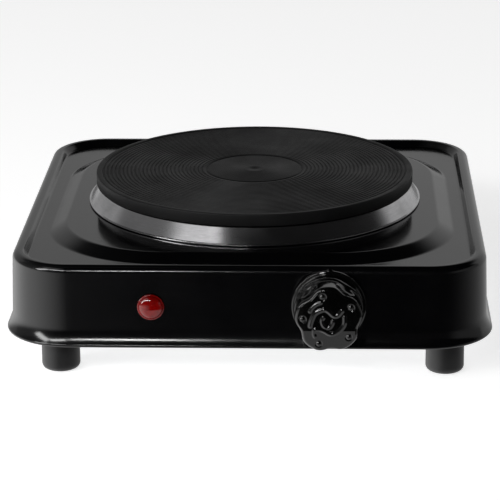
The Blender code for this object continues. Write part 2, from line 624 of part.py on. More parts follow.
def build_thermostat(front):
    """The fixed thermostat parts behind the wall; -z points into the body, +y is up."""
    thick = 1.2 * MM
    face = -1.5 * MM
    floor = -10 * MM
    flange = box((-15 * MM, 15 * MM), (floor, 10 * MM), (face - thick, face))
    bracket = add_node("thermostat_bracket", flange, "zinc plated steel", front)
    arm = box((-7 * MM, 7 * MM), (floor, floor + thick), (-41 * MM, face - thick / 2))
    combine(bracket, add_tool("bracket_arm", arm, front), "UNION")
    for name, x, radius in (("cut_bush_seat", 0, 5.3 * MM), ("cut_left", -THERMOSTAT_SCREW_X, 1.8 * MM),
                            ("cut_right", THERMOSTAT_SCREW_X, 1.8 * MM)):
        combine(bracket, add_tool(name, rod(radius, -5 * MM, 2 * MM), front, (x, 0, 0)))
    for side, x in (("left", -THERMOSTAT_SCREW_X), ("right", THERMOSTAT_SCREW_X)):
        screw = screw_body(2.5 * MM, 1.6 * MM, 1.4 * MM, 7 * MM)
        add_node(f"thermostat_screw_{side}", screw, "zinc plated steel", front, (x, 0, 2 * GAP))

    bore = SHAFT_RADIUS + GAP
    bush = ((bore, 0.4 * MM), (4.8 * MM, 0.4 * MM), (4.8 * MM, -3.0 * MM), (7.2 * MM, -3.0 * MM),
            (7.2 * MM, -5.0 * MM), (4.8 * MM, -5.0 * MM), (4.8 * MM, -14 * MM), (bore, -14 * MM))
    add_node("thermostat_bush", turned(bush, 20, True), "brass", front)

    seat = floor + thick + GAP
    guide = box((-6 * MM, 6 * MM), (seat, 6.5 * MM), (-31 * MM, -24 * MM))
    block = add_node("switch_block", guide, "ceramic", front)
    combine(block, add_tool("cut_guide", rod(PIN_RADIUS + 0.4 * MM, -33 * MM, -23 * MM), front))
    heel = ((-30 * MM, seat), (-40 * MM, seat), (-40 * MM, -4.5 * MM), (-33.9 * MM, -4.5 * MM),
            (-33.9 * MM, seat + 1.1 * MM), (-30 * MM, seat + 1.1 * MM))
    heel = extruded([(y, z) for z, y in heel], -6 * MM, 6 * MM, "YZ")
    combine(block, add_tool("switch_heel", heel, front), "UNION")
    strip = box((-3 * MM, 3 * MM), (-4.5 * MM + GAP, 6.4 * MM), (-36.6 * MM, -36.0 * MM))
    contact = add_node("fixed_contact", strip, "brass", front)
    button = rod(1.5 * MM, -36.3 * MM, -35.0 * MM, 12)
    combine(contact, add_tool("contact_button", button, front, (0, 4.2 * MM, 0)), "UNION")
    blade = box((-4 * MM, 4 * MM), (6.5 * MM + GAP, 7.6 * MM), (-62 * MM, -24 * MM))
    add_node("bimetal_blade", blade, "stainless", front)
    for name, side in (("line_tab", 1), ("load_tab", -1)):
        near, far = 6 * MM + GAP, 6.6 * MM + GAP
        span = (near, far) if side > 0 else (-far, -near)
        add_node(name, box(span, (-6 * MM, 4 * MM), (-30 * MM, -25 * MM)), "brass", front)


def build_switch(pin_slide, leaf_swing):
    """The moving pieces of the switch: push pin on its slide and contact leaf on its root."""
    length = 10.0 * MM
    pin = rod(PIN_RADIUS, -length, 0, 12)
    add_node("push_pin", pin, "ceramic", pin_slide)
    leaf = box((-3 * MM, 3 * MM), (0, 13.4 * MM), (-0.2 * MM, 0.2 * MM))
    add_node("contact_leaf", leaf, "brass", leaf_swing)


# ---------------------------------------------------------------- lamp, gland, wiring
def build_lamp(front):
    """Domed lens in the front wall with its bulb and holder; +z points out of the wall."""
    rim = 0.5 * MM
    dome_base = 1.2 * MM
    dome = []
    for i in range(4):
        angle = math.radians(22.5 * i)
        dome.append((5.5 * MM * math.cos(angle), dome_base + (LENS_HEIGHT - dome_base) * math.sin(angle)))
    inside = LENS_BARREL - LENS_WALL
    profile = [(0, LENS_HEIGHT - 1.3 * MM), (2.6 * MM, LENS_HEIGHT - 1.9 * MM), (inside, rim),
               (inside, -LENS_DEPTH), (LENS_BARREL, -LENS_DEPTH), (LENS_BARREL, rim), (LENS_RADIUS, rim),
               (LENS_RADIUS, 1.0 * MM), *dome, (0, LENS_HEIGHT)]
    bm = turned(profile, 20)
    add_node("lamp_lens", bm, "red lens", front)

    bulb = [(0, -8.5 * MM), (2.2 * MM, -8.5 * MM), *arc((0, -2.2 * MM), 2.2 * MM, 0, 90, 3)[:-1], (0, 0)]
    add_node("lamp_bulb", turned(bulb, 12), "clear glass", front)
    seat = -LENS_DEPTH - GAP
    holder = ((0, seat - 7 * MM), (3.5 * MM, seat - 7 * MM), (5.6 * MM, seat - 4 * MM), (5.6 * MM, seat),
              (2.8 * MM, seat), (2.8 * MM, seat + 0.2 * MM), (0, seat + 0.2 * MM))
    add_node("lamp_holder", turned(holder, 16), "black plastic", front)


def build_gland(rear):
    """Cord gland in the rear wall and the nut behind it; +z points out of the wall."""
    profile = ((GLAND_BORE, -12 * MM), (GLAND_BARREL, -12 * MM), (GLAND_BARREL, 0.7 * MM), (9 * MM, 0.7 * MM),
               (9 * MM, 2.6 * MM), (7.4 * MM, 3.4 * MM), (6.2 * MM, GLAND_LENGTH - 0.6 * MM),
               (5.6 * MM, GLAND_LENGTH), (GLAND_BORE + 0.4 * MM, GLAND_LENGTH),
               (GLAND_BORE, GLAND_LENGTH - 0.6 * MM))
    add_node("cord_gland", turned(profile, 20, True), "black plastic", rear)
    nut = hex_nut(11 * MM, GLAND_BARREL + 2 * GAP, -6 * MM, -1.6 * MM)
    add_node("gland_nut", nut, "black plastic", rear)


def base_screw_places():
    """Where the cord clamp's two screws and the earth screw go through the base plate."""
    clamp_y = 84 * MM
    return ((GLAND_X - 9 * MM, clamp_y), (GLAND_X + 9 * MM, clamp_y), (-62 * MM, 40 * MM))


def build_mains(assembly):
    """Terminal block, cord clamp and earth screw on the base plate."""
    floor = BASE_Z + SHEET + GAP
    block_x, block_y = BLOCK_CENTRE
    half = [side / 2 for side in BLOCK_SIZE]
    body = box((-half[0], half[0]), (-half[1], half[1]), (0, BLOCK_SIZE[2]))
    block = add_node("terminal_block", body, "ceramic", assembly, (block_x, block_y, floor))
    for way in (-1, 0, 1):
        x = block_x + way * BLOCK_PITCH
        wire_hole = lying(rod(1.8 * MM, -12 * MM, 12 * MM, 12))
        combine(block, add_tool("cut_wire", wire_hole, assembly, (x, block_y, floor + 5 * MM)))
        well = rod(2.2 * MM, 8.5 * MM, 20 * MM, 12)
        combine(block, add_tool("cut_well", well, assembly, (x, block_y, floor)))
        grub = turned(((0, 0), (1.8 * MM, 0), (1.8 * MM, 4.6 * MM), (0.8 * MM, 4.6 * MM),
                       (0.8 * MM, 3.6 * MM), (0, 3.4 * MM)), 12)
        add_node(f"terminal_screw_{way + 2}", grub, "brass", assembly, (x, block_y, floor + 8.8 * MM))

    first, second, earth = base_screw_places()
    bar_x = (first[0] - 4 * MM, second[0] + 4 * MM)
    middle = (first[0] + second[0]) / 2
    arch = arc((middle, floor), 4.6 * MM, 180, 0, 8)
    crown = floor + 7 * MM
    shoulder = floor + 5 * MM
    outline = [(bar_x[0], floor), *arch, (bar_x[1], floor), (bar_x[1], shoulder),
               (middle + 5 * MM, crown), (middle - 5 * MM, crown), (bar_x[0], shoulder)]
    bar = extruded(outline, first[1] - 4 * MM, first[1] + 4 * MM, "XZ")
    clamp = add_node("cord_clamp", bar, "black plastic", assembly)
    for number, (x, y) in enumerate((first, second), 1):
        hole = rod(1.9 * MM, floor - 2 * MM, floor + 12 * MM, 12)
        combine(clamp, add_tool("cut_clamp", hole, assembly, (x, y, 0)))
        screw = screw_body(2.8 * MM, 1.8 * MM, 1.5 * MM, 9.5 * MM)
        add_node(f"cord_clamp_screw_{number}", screw, "zinc plated steel", assembly, (x, y, floor + 7 * MM))
    screw = screw_body(3.2 * MM, 2.0 * MM, 1.5 * MM, 5 * MM)
    add_node("earth_screw", screw, "brass", assembly, (*earth, floor + 2 * MM))


def build_leads(assembly):
    """Insulated leads inside the body, each along its own route."""
    block_x, block_y = BLOCK_CENTRE
    wire_z = BASE_Z + SHEET + GAP + 5 * MM
    front_side = block_y - 5 * MM
    tab_y = -wall_half(KNOB_Z) + 27.5 * MM
    tab_reach = 6.6 * MM + 2 * GAP + LEAD_RADIUS
    outer_left = coil_end(OUTER_COIL, -1)
    outer_right = coil_end(OUTER_COIL, 1)
    inner_left = coil_end(INNER_COIL, -1)
    inner_right = coil_end(INNER_COIL, 1)
    lead_top = COIL_Z - 10 * MM - GAP
    cutout_z = COVER_TOP_Z - SHEET - GAP - 11 * MM
    cutout_reach = 4.4 * MM + GAP + LEAD_RADIUS
    run = 4 * MM                # straight stretch at a lead's end
    lamp_y = -wall_half(LAMP_Z) + LENS_DEPTH + 2 * GAP + 7 * MM
    routes = {
        "live_lead": [(block_x - BLOCK_PITCH, front_side, wire_z),
                      (block_x - BLOCK_PITCH, 46 * MM, wire_z), (-48 * MM, 34 * MM, 28 * MM),
                      (-42 * MM, 8 * MM, 26 * MM), (-14 * MM, -44 * MM, 25 * MM),
                      (30 * MM, -58 * MM, 25 * MM), (50 * MM, -68 * MM, 27 * MM),
                      (KNOB_X + tab_reach + 1 * MM, tab_y, 33 * MM), (KNOB_X + tab_reach, tab_y, 40 * MM)],
        "load_lead": [(KNOB_X - tab_reach, tab_y, 40 * MM), (KNOB_X - tab_reach - 1 * MM, tab_y, 34 * MM),
                      (20 * MM, -70 * MM, 32 * MM), (11 * MM, -46 * MM, 37 * MM),
                      (cutout_reach + 0.4 * MM, CUTOUT_PLACE[1], 41 * MM),
                      (cutout_reach, CUTOUT_PLACE[1], cutout_z - run),
                      (cutout_reach, CUTOUT_PLACE[1], cutout_z)],
        "element_lead": [(-cutout_reach, CUTOUT_PLACE[1], cutout_z),
                         (-cutout_reach, CUTOUT_PLACE[1], cutout_z - run), (-14 * MM, -24 * MM, 35 * MM),
                         (-24 * MM, 0, 33 * MM), (-22 * MM, 20 * MM, 38 * MM),
                         (*inner_left, lead_top - run), (*inner_left, lead_top)],
        "link_lead": [(*inner_right, lead_top), (*inner_right, lead_top - run),
                      (10 * MM, 44 * MM, 43 * MM), (*outer_right, lead_top - run), (*outer_right, lead_top)],
        "neutral_lead": [(*outer_left, lead_top), (*outer_left, lead_top - run),
                         (-20 * MM, 46 * MM, 38 * MM), (block_x, 42 * MM, 31 * MM),
                         (block_x, front_side - run, wire_z), (block_x, front_side, wire_z)],
        "lamp_lead": [(LAMP_X, lamp_y, LAMP_Z), (LAMP_X, lamp_y + run, LAMP_Z),
                      (-60 * MM, -60 * MM, 27 * MM), (-66 * MM, -10 * MM, 25 * MM),
                      (-60 * MM, 30 * MM, 30 * MM), (block_x - 3.5 * MM, 46 * MM, 37 * MM),
                      (block_x - 3 * MM, 50.5 * MM, 37 * MM)],
        "earth_lead": [(block_x + BLOCK_PITCH, front_side, wire_z), (block_x + BLOCK_PITCH, 48 * MM, 25 * MM),
                       (-30 * MM, 41 * MM, 22.3 * MM), (-44 * MM, 39 * MM, 22.2 * MM),
                       (-57 * MM, 40 * MM, 22.2 * MM)],
    }
    for name, route in routes.items():
        finish = "earth green" if name == "earth_lead" else "white silicone"
        add_tube(name, smooth_route(route), LEAD_RADIUS, finish, assembly)


def main():
    """Build every sub-assembly on its own carrier."""
    clear_scene()
    front_reach = wall_half(KNOB_Z) + KNOB_LENGTH
    rear_reach = wall_half(GLAND_Z) + GLAND_LENGTH
    assembly = add_empty("assembly", None, (0, (front_reach - rear_reach) / 2, 0))
    build_housing(assembly)
    build_base(assembly)
    build_plate(assembly)
    build_element(assembly)
    build_clamping(assembly)

    knob_place = Vector((KNOB_X, -wall_half(KNOB_Z), KNOB_Z))
    build_knob(add_empty("knob_turn", assembly, knob_place, 90))
    build_thermostat(add_empty("thermostat_frame", assembly, knob_place, 90))
    pin_place = knob_place + Vector((0, -SHAFT_TIP + GAP, 0))
    leaf_place = knob_place + Vector((0, 33.0 * MM, -7.0 * MM))
    pin_slide = add_empty("pin_slide", assembly, pin_place, 90)
    leaf_swing = add_empty("leaf_swing", assembly, leaf_place, 90)
    build_switch(pin_slide, leaf_swing)

    build_lamp(add_empty("lamp_frame", assembly, (LAMP_X, -wall_half(LAMP_Z), LAMP_Z), 90))
    build_gland(add_empty("gland_frame", assembly, (GLAND_X, wall_half(GLAND_Z), GLAND_Z), -90))
    build_mains(assembly)
    build_leads(assembly)


main()
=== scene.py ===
"""Visual model of a single electric hot plate, dressed over its CAD frame.

The frame is in metres, +Z up, with the knob and lamp on the -Y side. Sizes below are in
millimetres, taken about the cast-iron plate's own axis, and become metres when a mesh is made.
"""
import json
import logging
import math
from dataclasses import dataclass, field
from enum import Enum
from typing import Callable, Iterable, Sequence

import bmesh
import bpy
import numpy as np
from mathutils import Matrix, Vector


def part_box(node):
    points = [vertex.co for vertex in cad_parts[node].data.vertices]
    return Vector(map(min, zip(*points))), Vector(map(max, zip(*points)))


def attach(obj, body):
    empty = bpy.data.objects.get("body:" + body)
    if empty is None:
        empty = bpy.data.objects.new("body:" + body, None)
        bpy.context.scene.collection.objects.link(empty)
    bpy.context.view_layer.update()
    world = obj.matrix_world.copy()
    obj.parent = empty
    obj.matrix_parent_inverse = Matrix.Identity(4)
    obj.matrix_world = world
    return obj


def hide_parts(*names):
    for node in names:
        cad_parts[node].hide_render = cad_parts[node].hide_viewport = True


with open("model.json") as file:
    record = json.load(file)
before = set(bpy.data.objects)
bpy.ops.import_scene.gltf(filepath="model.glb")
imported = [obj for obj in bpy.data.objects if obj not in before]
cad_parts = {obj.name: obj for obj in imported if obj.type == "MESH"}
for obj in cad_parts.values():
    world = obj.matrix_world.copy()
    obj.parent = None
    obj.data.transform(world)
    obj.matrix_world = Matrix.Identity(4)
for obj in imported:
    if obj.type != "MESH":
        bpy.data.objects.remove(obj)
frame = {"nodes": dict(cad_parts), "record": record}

LOG = logging.getLogger("hot_plate")
MM = 0.001
CREASE = 32.0  # angle in degrees from which an edge stays sharp
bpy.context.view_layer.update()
Pair = tuple[float, float]
Pairs = tuple[Pair, ...]
Point = tuple[float, float, float]
Ring = list[Point]
Tree, Socket, Piece, Skin = bpy.types.NodeTree, bpy.types.NodeSocket, bpy.types.Object, bmesh.types.BMesh


# ---------------- colours and shader nodes
def linear(code: str) -> tuple[float, float, float, float]:
    """Turn an sRGB hex colour into a linear one.

    Args:
        code: Six hex digits, with or without a leading hash.

    Returns:
        Linear red, green and blue, and an alpha of 1.
    """
    digits = code.lstrip("#")
    channels = [int(digits[i:i + 2], 16) / 255 for i in (0, 2, 4)]
    red, green, blue = (c / 12.92 if c <= 0.04045 else ((c + 0.055) / 1.055) ** 2.4 for c in channels)
    return red, green, blue, 1.0


def add_node(tree: Tree, kind: str, settings: dict | None = None,
             feeds: dict | None = None) -> bpy.types.Node:
    """Add a shader node with its settings and links.

    Args:
        tree: Node tree that the node goes into.
        kind: Name of the node type, without its ShaderNode prefix.
        settings: Attribute names and values.
        feeds: Input sockets by name or number, each with a value or an output socket to link.

    Returns:
        The new node.
    """
    made = tree.nodes.new(f"ShaderNode{kind}")
    for name, value in (settings or {}).items():
        setattr(made, name, value)
    for name, value in (feeds or {}).items():
        if isinstance(value, Socket):
            tree.links.new(value, made.inputs[name])
        else:
            made.inputs[name].default_value = value
    return made


class Weave(Enum):
    """Which way a finish's fine pattern runs."""

    EVEN = "same in every direction"
    TURNED = "fine lines round the piece's own z axis"
    ROLLED = "fine lines along the piece's x axis"


@dataclass(frozen=True)
class Finish:
    """A surface of one material and process, with tone, sheen and relief at two real scales.

    The fields hold two tones as sRGB hex, the lowest and highest roughness, the width of the fine
    grain and of the broad patches in millimetres, and the grain's depth in millimetres. The last
    four say how far rolled lines are drawn out, how many metres one radian of turned lines counts
    for, how much the grain sways the tone, and which part of the pattern runs between the tones.
    """

    name: str
    tone: str
    second_tone: str
    roughness: Pair
    grain: float
    patch: float
    depth: float
    metallic: float = 0.0
    ior: float = 1.5
    weave: Weave = Weave.EVEN
    shader_values: tuple[tuple[str, float], ...] = ()
    rolled_stretch: float = 0.03
    turned_metres: float = 0.004
    grain_share: float = 0.4
    tone_range: Pair = (0.45, 0.95)

    def make(self) -> bpy.types.Material:
        """Build the material, or return it if it was built before.

        Returns:
            The finished material.
        """
        if self.name in bpy.data.materials:
            return bpy.data.materials[self.name]
        material = bpy.data.materials.new(self.name)
        material.use_nodes = True
        tree = material.node_tree
        shader = tree.nodes["Principled BSDF"]
        shader.inputs["Metallic"].default_value = self.metallic
        if self.metallic < 0.5:
            shader.inputs["IOR"].default_value = self.ior
        for name, value in self.shader_values:
            shader.inputs[name].default_value = value
        self.dress(tree, shader)
        return material

    def place(self, tree: Tree) -> Socket:
        """Coordinates in metres that the fine pattern reads.

        Args:
            tree: The material's node tree.

        Returns:
            The vector socket, stretched along the weave.
        """
        raw = add_node(tree, "TexCoord").outputs["Object"]
        if self.weave is Weave.EVEN:
            return raw
        if self.weave is Weave.ROLLED:
            scale = (self.rolled_stretch, 1.0, 1.0)
            return add_node(tree, "Mapping", {}, {"Vector": raw, "Scale": scale}).outputs[0]
        parts = add_node(tree, "SeparateXYZ", {}, {"Vector": raw})
        flat = add_node(tree, "CombineXYZ", {}, {"X": parts.outputs["X"], "Y": parts.outputs["Y"]})
        radius = add_node(tree, "VectorMath", {"operation": "LENGTH"}, {0: flat.outputs[0]})
        turn = add_node(tree, "Math", {"operation": "ARCTAN2"},
                        {0: parts.outputs["Y"], 1: parts.outputs["X"]})
        slow = add_node(tree, "Math", {"operation": "MULTIPLY"},
                        {0: turn.outputs[0], 1: self.turned_metres})
        return add_node(tree, "CombineXYZ", {}, {"X": radius.outputs["Value"], "Y": slow.outputs[0],
                                                 "Z": parts.outputs["Z"]}).outputs[0]

    def dress(self, tree: Tree, shader: bpy.types.Node) -> None:
        """Drive tone, roughness and relief from the two scales of pattern.

        Args:
            tree: The material's node tree.
            shader: Its Principled shader.
        """
        place = self.place(tree)
        grain = add_node(tree, "TexNoise", {}, {"Vector": place, "Scale": 1 / (self.grain * MM),
                                                "Detail": 3.0, "Roughness": 0.6})
        patch = add_node(tree, "TexNoise", {}, {"Vector": add_node(tree, "TexCoord").outputs["Object"],
                                                "Scale": 1 / (self.patch * MM), "Detail": 4.0})
        both = add_node(tree, "Math", {"operation": "MULTIPLY_ADD"},
                        {0: grain.outputs["Fac"], 1: self.grain_share, 2: patch.outputs["Fac"]})
        share = add_node(tree, "MapRange", {}, {"Value": both.outputs[0], "From Min": self.tone_range[0],
                                                "From Max": self.tone_range[1]})
        tone = add_node(tree, "Mix", {"data_type": "RGBA"},
                        {"Factor": share.outputs[0], 6: linear(self.tone), 7: linear(self.second_tone)})
        sheen = add_node(tree, "MapRange", {}, {"Value": share.outputs[0], "To Min": self.roughness[0],
                                                "To Max": self.roughness[1]})
        relief = add_node(tree, "Bump", {}, {"Height": grain.outputs["Fac"], "Distance": self.depth * MM,
                                             "Strength": 1.0})
        tree.links.new(tone.outputs[2], shader.inputs["Base Color"])
        tree.links.new(sheen.outputs[0], shader.inputs["Roughness"])
        tree.links.new(relief.outputs[0], shader.inputs["Normal"])


@dataclass(frozen=True)
class PittedFinish(Finish):
    """A finish with small round pits or crystals on top of the grain, such as sand casting or zinc."""

    cell: float = 1.0
    cell_depth: float = 0.02
    cell_tone: float = 0.15
    cell_colour: float = 0.5

    def dress(self, tree: Tree, shader: bpy.types.Node) -> None:
        """Add cells to the plain finish.

        Args:
            tree: The material's node tree.
            shader: Its Principled shader.
        """
        super().dress(tree, shader)
        place = add_node(tree, "TexCoord").outputs["Object"]
        cells = add_node(tree, "TexVoronoi", {}, {"Vector": place, "Scale": 1 / (self.cell * MM)})
        shade = add_node(tree, "Mix", {"data_type": "RGBA", "blend_type": "MULTIPLY"},
                         {"Factor": self.cell_tone, 6: shader.inputs["Base Color"].links[0].from_socket,
                          7: cells.outputs["Color"]})
        grey = add_node(tree, "HueSaturation", {},
                        {"Color": shade.outputs[2], "Saturation": self.cell_colour})
        pits = add_node(tree, "Bump", {}, {"Height": cells.outputs["Distance"],
                                           "Distance": self.cell_depth * MM, "Strength": 1.0,
                                           "Normal": shader.inputs["Normal"].links[0].from_socket})
        tree.links.new(grey.outputs[0], shader.inputs["Base Color"])
        tree.links.new(pits.outputs[0], shader.inputs["Normal"])


# Enamel fired on pressed steel: deep gloss black, with a faint orange peel and a thin haze.
ENAMEL = Finish("black enamel, fired on pressed steel", "#030304", "#050506", (0.10, 0.17), 3.0, 28.0,
                0.0035)
# Cast iron, sand cast and turned, with a baked black coat: dull, slightly mottled, fine open grain.
# The real grain is about 0.2 mm; it is drawn at 0.7 mm so that it shows. The coat is porous, which
# gives it a low index.
CAST_IRON = PittedFinish("cast iron, turned and black-coated", "#0f0f10", "#161617", (0.45, 0.6), 0.7, 16.0,
                         0.02, ior=1.3, cell=1.1, cell_depth=0.02, cell_tone=0.12)
# Stainless steel spun and brushed on a lathe: bright, with streaks that run round the ring.
# Real brush lines are about 0.05 mm wide; they are drawn at 0.35 mm.
STAINLESS = Finish("stainless steel, spun and brushed", "#cfced0", "#a9a9aa", (0.13, 0.22), 0.35, 14.0,
                   0.004, metallic=1.0, weave=Weave.TURNED, shader_values=(("Anisotropic", 0.4),))
# Zinc-plated steel sheet: pale grey metal with soft crystals and rolling marks.
ZINC = PittedFinish("zinc-plated steel sheet", "#b4b7bb", "#8e9196", (0.30, 0.48), 0.6, 18.0, 0.006,
                    metallic=1.0, weave=Weave.ROLLED, cell=5.0, cell_depth=0.004, cell_tone=0.25)
# Brass, stamped: warm yellow metal, slightly tarnished in patches.
BRASS = Finish("brass, stamped", "#d8b46a", "#a98142", (0.24, 0.42), 0.4, 5.0, 0.004, metallic=1.0,
               weave=Weave.ROLLED)
# Phenolic knob, moulded and tumbled to a polish: almost liquid black gloss with a little sink ripple.
PHENOLIC = Finish("phenolic, moulded and polished", "#020202", "#040404", (0.05, 0.10), 1.6, 9.0, 0.002,
                  ior=1.55)
# Polyamide, moulded: satin black with a fine spark-eroded texture.
POLYAMIDE = PittedFinish("polyamide, moulded", "#121213", "#1b1b1c", (0.38, 0.52), 0.5, 9.0, 0.01,
                         cell=0.6, cell_depth=0.012, cell_tone=0.1)
# Rubber feet, compression moulded: dark grey, soft sheen, slightly dusty.
RUBBER = Finish("rubber, compression moulded", "#0c0c0d", "#151516", (0.34, 0.46), 0.8, 7.0, 0.008, ior=1.52)
# Polycarbonate lens, moulded clear red: deep red with wet highlights.
RED_LENS = Finish("polycarbonate, moulded clear red", "#8a0201", "#640201", (0.03, 0.07), 1.2, 4.0, 0.002,
                  ior=1.58, shader_values=(("Transmission Weight", 0.2),))
# Glass bulb, blown: clear with a faint warm cast.
BULB_GLASS = Finish("glass, blown", "#f4ead8", "#e6dccb", (0.02, 0.05), 2.0, 5.0, 0.002,
                    shader_values=(("Transmission Weight", 0.9),))
# Steatite, pressed and fired unglazed: chalky cream with fine pores.
STEATITE = PittedFinish("steatite, pressed and fired", "#e4ddcc", "#d2c9b4", (0.48, 0.62), 0.5, 8.0, 0.01,
                        cell=0.9, cell_depth=0.015, cell_tone=0.08)
# Magnesia, pressed powder: matt off-white, crumbly.
MAGNESIA = PittedFinish("magnesia, pressed powder", "#d9d5cb", "#c2bdb0", (0.82, 0.95), 0.6, 6.0, 0.05,
                        cell=1.2, cell_depth=0.05, cell_tone=0.12)
# Resistance wire helix, oxidised: brown-grey metal, its turns drawn as relief 0.9 mm apart.
WIRE = Finish("resistance wire, wound and oxidised", "#6e655c", "#4a433d", (0.42, 0.58), 0.9, 6.0, 0.05,
              metallic=1.0)
# Silicone sleeve, extruded: off-white, soft sheen.
SILICONE = Finish("silicone sleeve, extruded", "#dedcd4", "#cbc8be", (0.40, 0.55), 0.6, 8.0, 0.008, ior=1.41)
# Silicone sleeve of the earth lead: yellow-green.
EARTH_SLEEVE = Finish("silicone sleeve, green-yellow", "#9fb52a", "#5d8f23", (0.40, 0.55), 0.9, 5.0, 0.008,
                      ior=1.41)


# ---------------- curves and skins
def arc(centre: Pair, radius: float, start: float, end: float, steps: int) -> list[Pair]:
    """Points of a circular arc in a profile's plane.

    Args:
        centre: The arc's centre.
        radius: Its radius.
        start: First angle in degrees.
        end: Last angle in degrees.
        steps: Number of pieces that the arc is cut into.

    Returns:
        The points, both ends included.
    """
    angles = [math.radians(start + (end - start) * i / steps) for i in range(steps + 1)]
    return [(centre[0] + radius * math.cos(a), centre[1] + radius * math.sin(a)) for a in angles]


def eased(share: float, bend: float = 0.16) -> float:
    """A straight ramp from 0 to 1 whose two ends are rounded.

    Args:
        share: Position along the ramp, 0 to 1.
        bend: Share of the ramp that each rounding takes.

    Returns:
        Height of the ramp there.
    """
    if share < bend:
        return share ** 2 / (2 * bend * (1 - bend))
    if share > 1 - bend:
        return 1 - (1 - share) ** 2 / (2 * bend * (1 - bend))
    return (share - bend / 2) / (1 - bend)


def circle(radius: float, z: float, steps: int) -> Ring:
    """Points round the z axis, or the one point on it when the radius is 0.

    Args:
        radius: The circle's radius.
        z: Its height.
        steps: Number of points.

    Returns:
        The circle's points.
    """
    if radius == 0:
        return [(0.0, 0.0, z)]
    angles = [2 * math.pi * i / steps for i in range(steps)]
    return [(radius * math.cos(a), radius * math.sin(a), z) for a in angles]


def skin_rings(bm: Skin, rings: Sequence[Ring], closed: bool = False) -> None:
    """Add faces between successive rings, given in millimetres.

    Args:
        bm: Mesh that the faces are added to.
        rings: Rings of equal length, or single points for poles.
        closed: Whether the last ring joins the first.
    """
    loops = [[bm.verts.new((x * MM, y * MM, z * MM)) for x, y, z in ring] for ring in rings]
    pairs = list(zip(loops, loops[1:]))
    if closed:
        pairs.append((loops[-1], loops[0]))
    for low, high in pairs:
        count = max(len(low), len(high))
        for i in range(count):
            j = (i + 1) % count
            corners = (low[i % len(low)], low[j % len(low)], high[j % len(high)], high[i % len(high)])
            bm.faces.new(list(dict.fromkeys(corners)))


def lathe(profile: Iterable[Pair], steps: int, closed: bool = True) -> Skin:
    """Turn a profile about z.

    Args:
        profile: Radius and height of each point, in millimetres.
        steps: Number of facets round the axis.
        closed: Whether the profile's ends are joined.

    Returns:
        The turned mesh.
    """
    bm = bmesh.new()
    skin_rings(bm, [circle(radius, z, steps) for radius, z in profile], closed)
    return bm


def rounded(profile: Sequence[Pair], radius: float, steps: int = 4) -> list[Pair]:
    """Round every corner of a closed profile.

    Args:
        profile: Its corners.
        radius: Radius wanted; beside a side that is too short the rounding is smaller.
        steps: Pieces in each rounded corner.

    Returns:
        The rounded profile.
    """
    longest = 0.45  # share of a side that one rounding may take
    points = []
    for i, corner in enumerate(profile):
        here = Vector(corner)
        before = Vector(profile[i - 1]) - here
        after = Vector(profile[(i + 1) % len(profile)]) - here
        reach = min(radius, longest * before.length, longest * after.length)
        start, end = here + before.normalized() * reach, here + after.normalized() * reach
        for k in range(steps + 1):
            t = k / steps
            points.append(tuple(start * (1 - t) ** 2 + here * 2 * t * (1 - t) + end * t ** 2))
    return points


def add_piece(name: str, bm: Skin, finish: Finish, place: Matrix,
              sharp: float = CREASE) -> Piece:
    """Turn a finished mesh into a smooth-shaded object.

    Args:
        name: The piece's name.
        bm: Its mesh, which is freed.
        finish: What it is made of.
        place: Where it stands in the frame.
        sharp: Angle in degrees from which an edge stays sharp.

    Returns:
        The new object.
    """
    bmesh.ops.recalc_face_normals(bm, faces=bm.faces)
    mesh = bpy.data.meshes.new(name)
    bm.to_mesh(mesh)
    bm.free()
    mesh.shade_smooth()
    mesh.set_sharp_from_angle(angle=math.radians(sharp))
    mesh.materials.append(finish.make())
    piece = bpy.data.objects.new(name, mesh)
    piece.matrix_world = place
    bpy.context.scene.collection.objects.link(piece)
    return piece


def cut(piece: Piece, cutters: Iterable[Piece]) -> None:
    """Cut round holes into a piece and remove the cutters.

    Args:
        piece: The piece that is cut.
        cutters: Objects that take material away.
    """
    cutters = list(cutters)
    for cutter in cutters:
        hole = piece.modifiers.new(cutter.name, "BOOLEAN")
        hole.operation = "DIFFERENCE"
        hole.solver = "EXACT"
        hole.object = cutter
    bpy.context.view_layer.update()
    evaluated = piece.evaluated_get(bpy.context.evaluated_depsgraph_get())
    mesh = bpy.data.meshes.new_from_object(evaluated)
    piece.modifiers.clear()
    piece.data = mesh
    mesh.shade_smooth()
    mesh.set_sharp_from_angle(angle=math.radians(CREASE))
    for cutter in cutters:
        bpy.data.objects.remove(cutter, do_unlink=True)


def hand_over(piece: Piece, body: str, slot: str, *nodes: str) -> None:
    """Ride a piece on its body in place of the CAD nodes that it stands for, and report it.

    Args:
        piece: The dressed piece.
        body: Body that it rides on.
        slot: Its material slot in the record; not used.
        nodes: CAD nodes that it replaces.
    """
    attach(piece, body)
    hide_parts(*nodes)
    LOG.info("%s: %d faces on body %s", piece.name, len(piece.data.polygons), body)


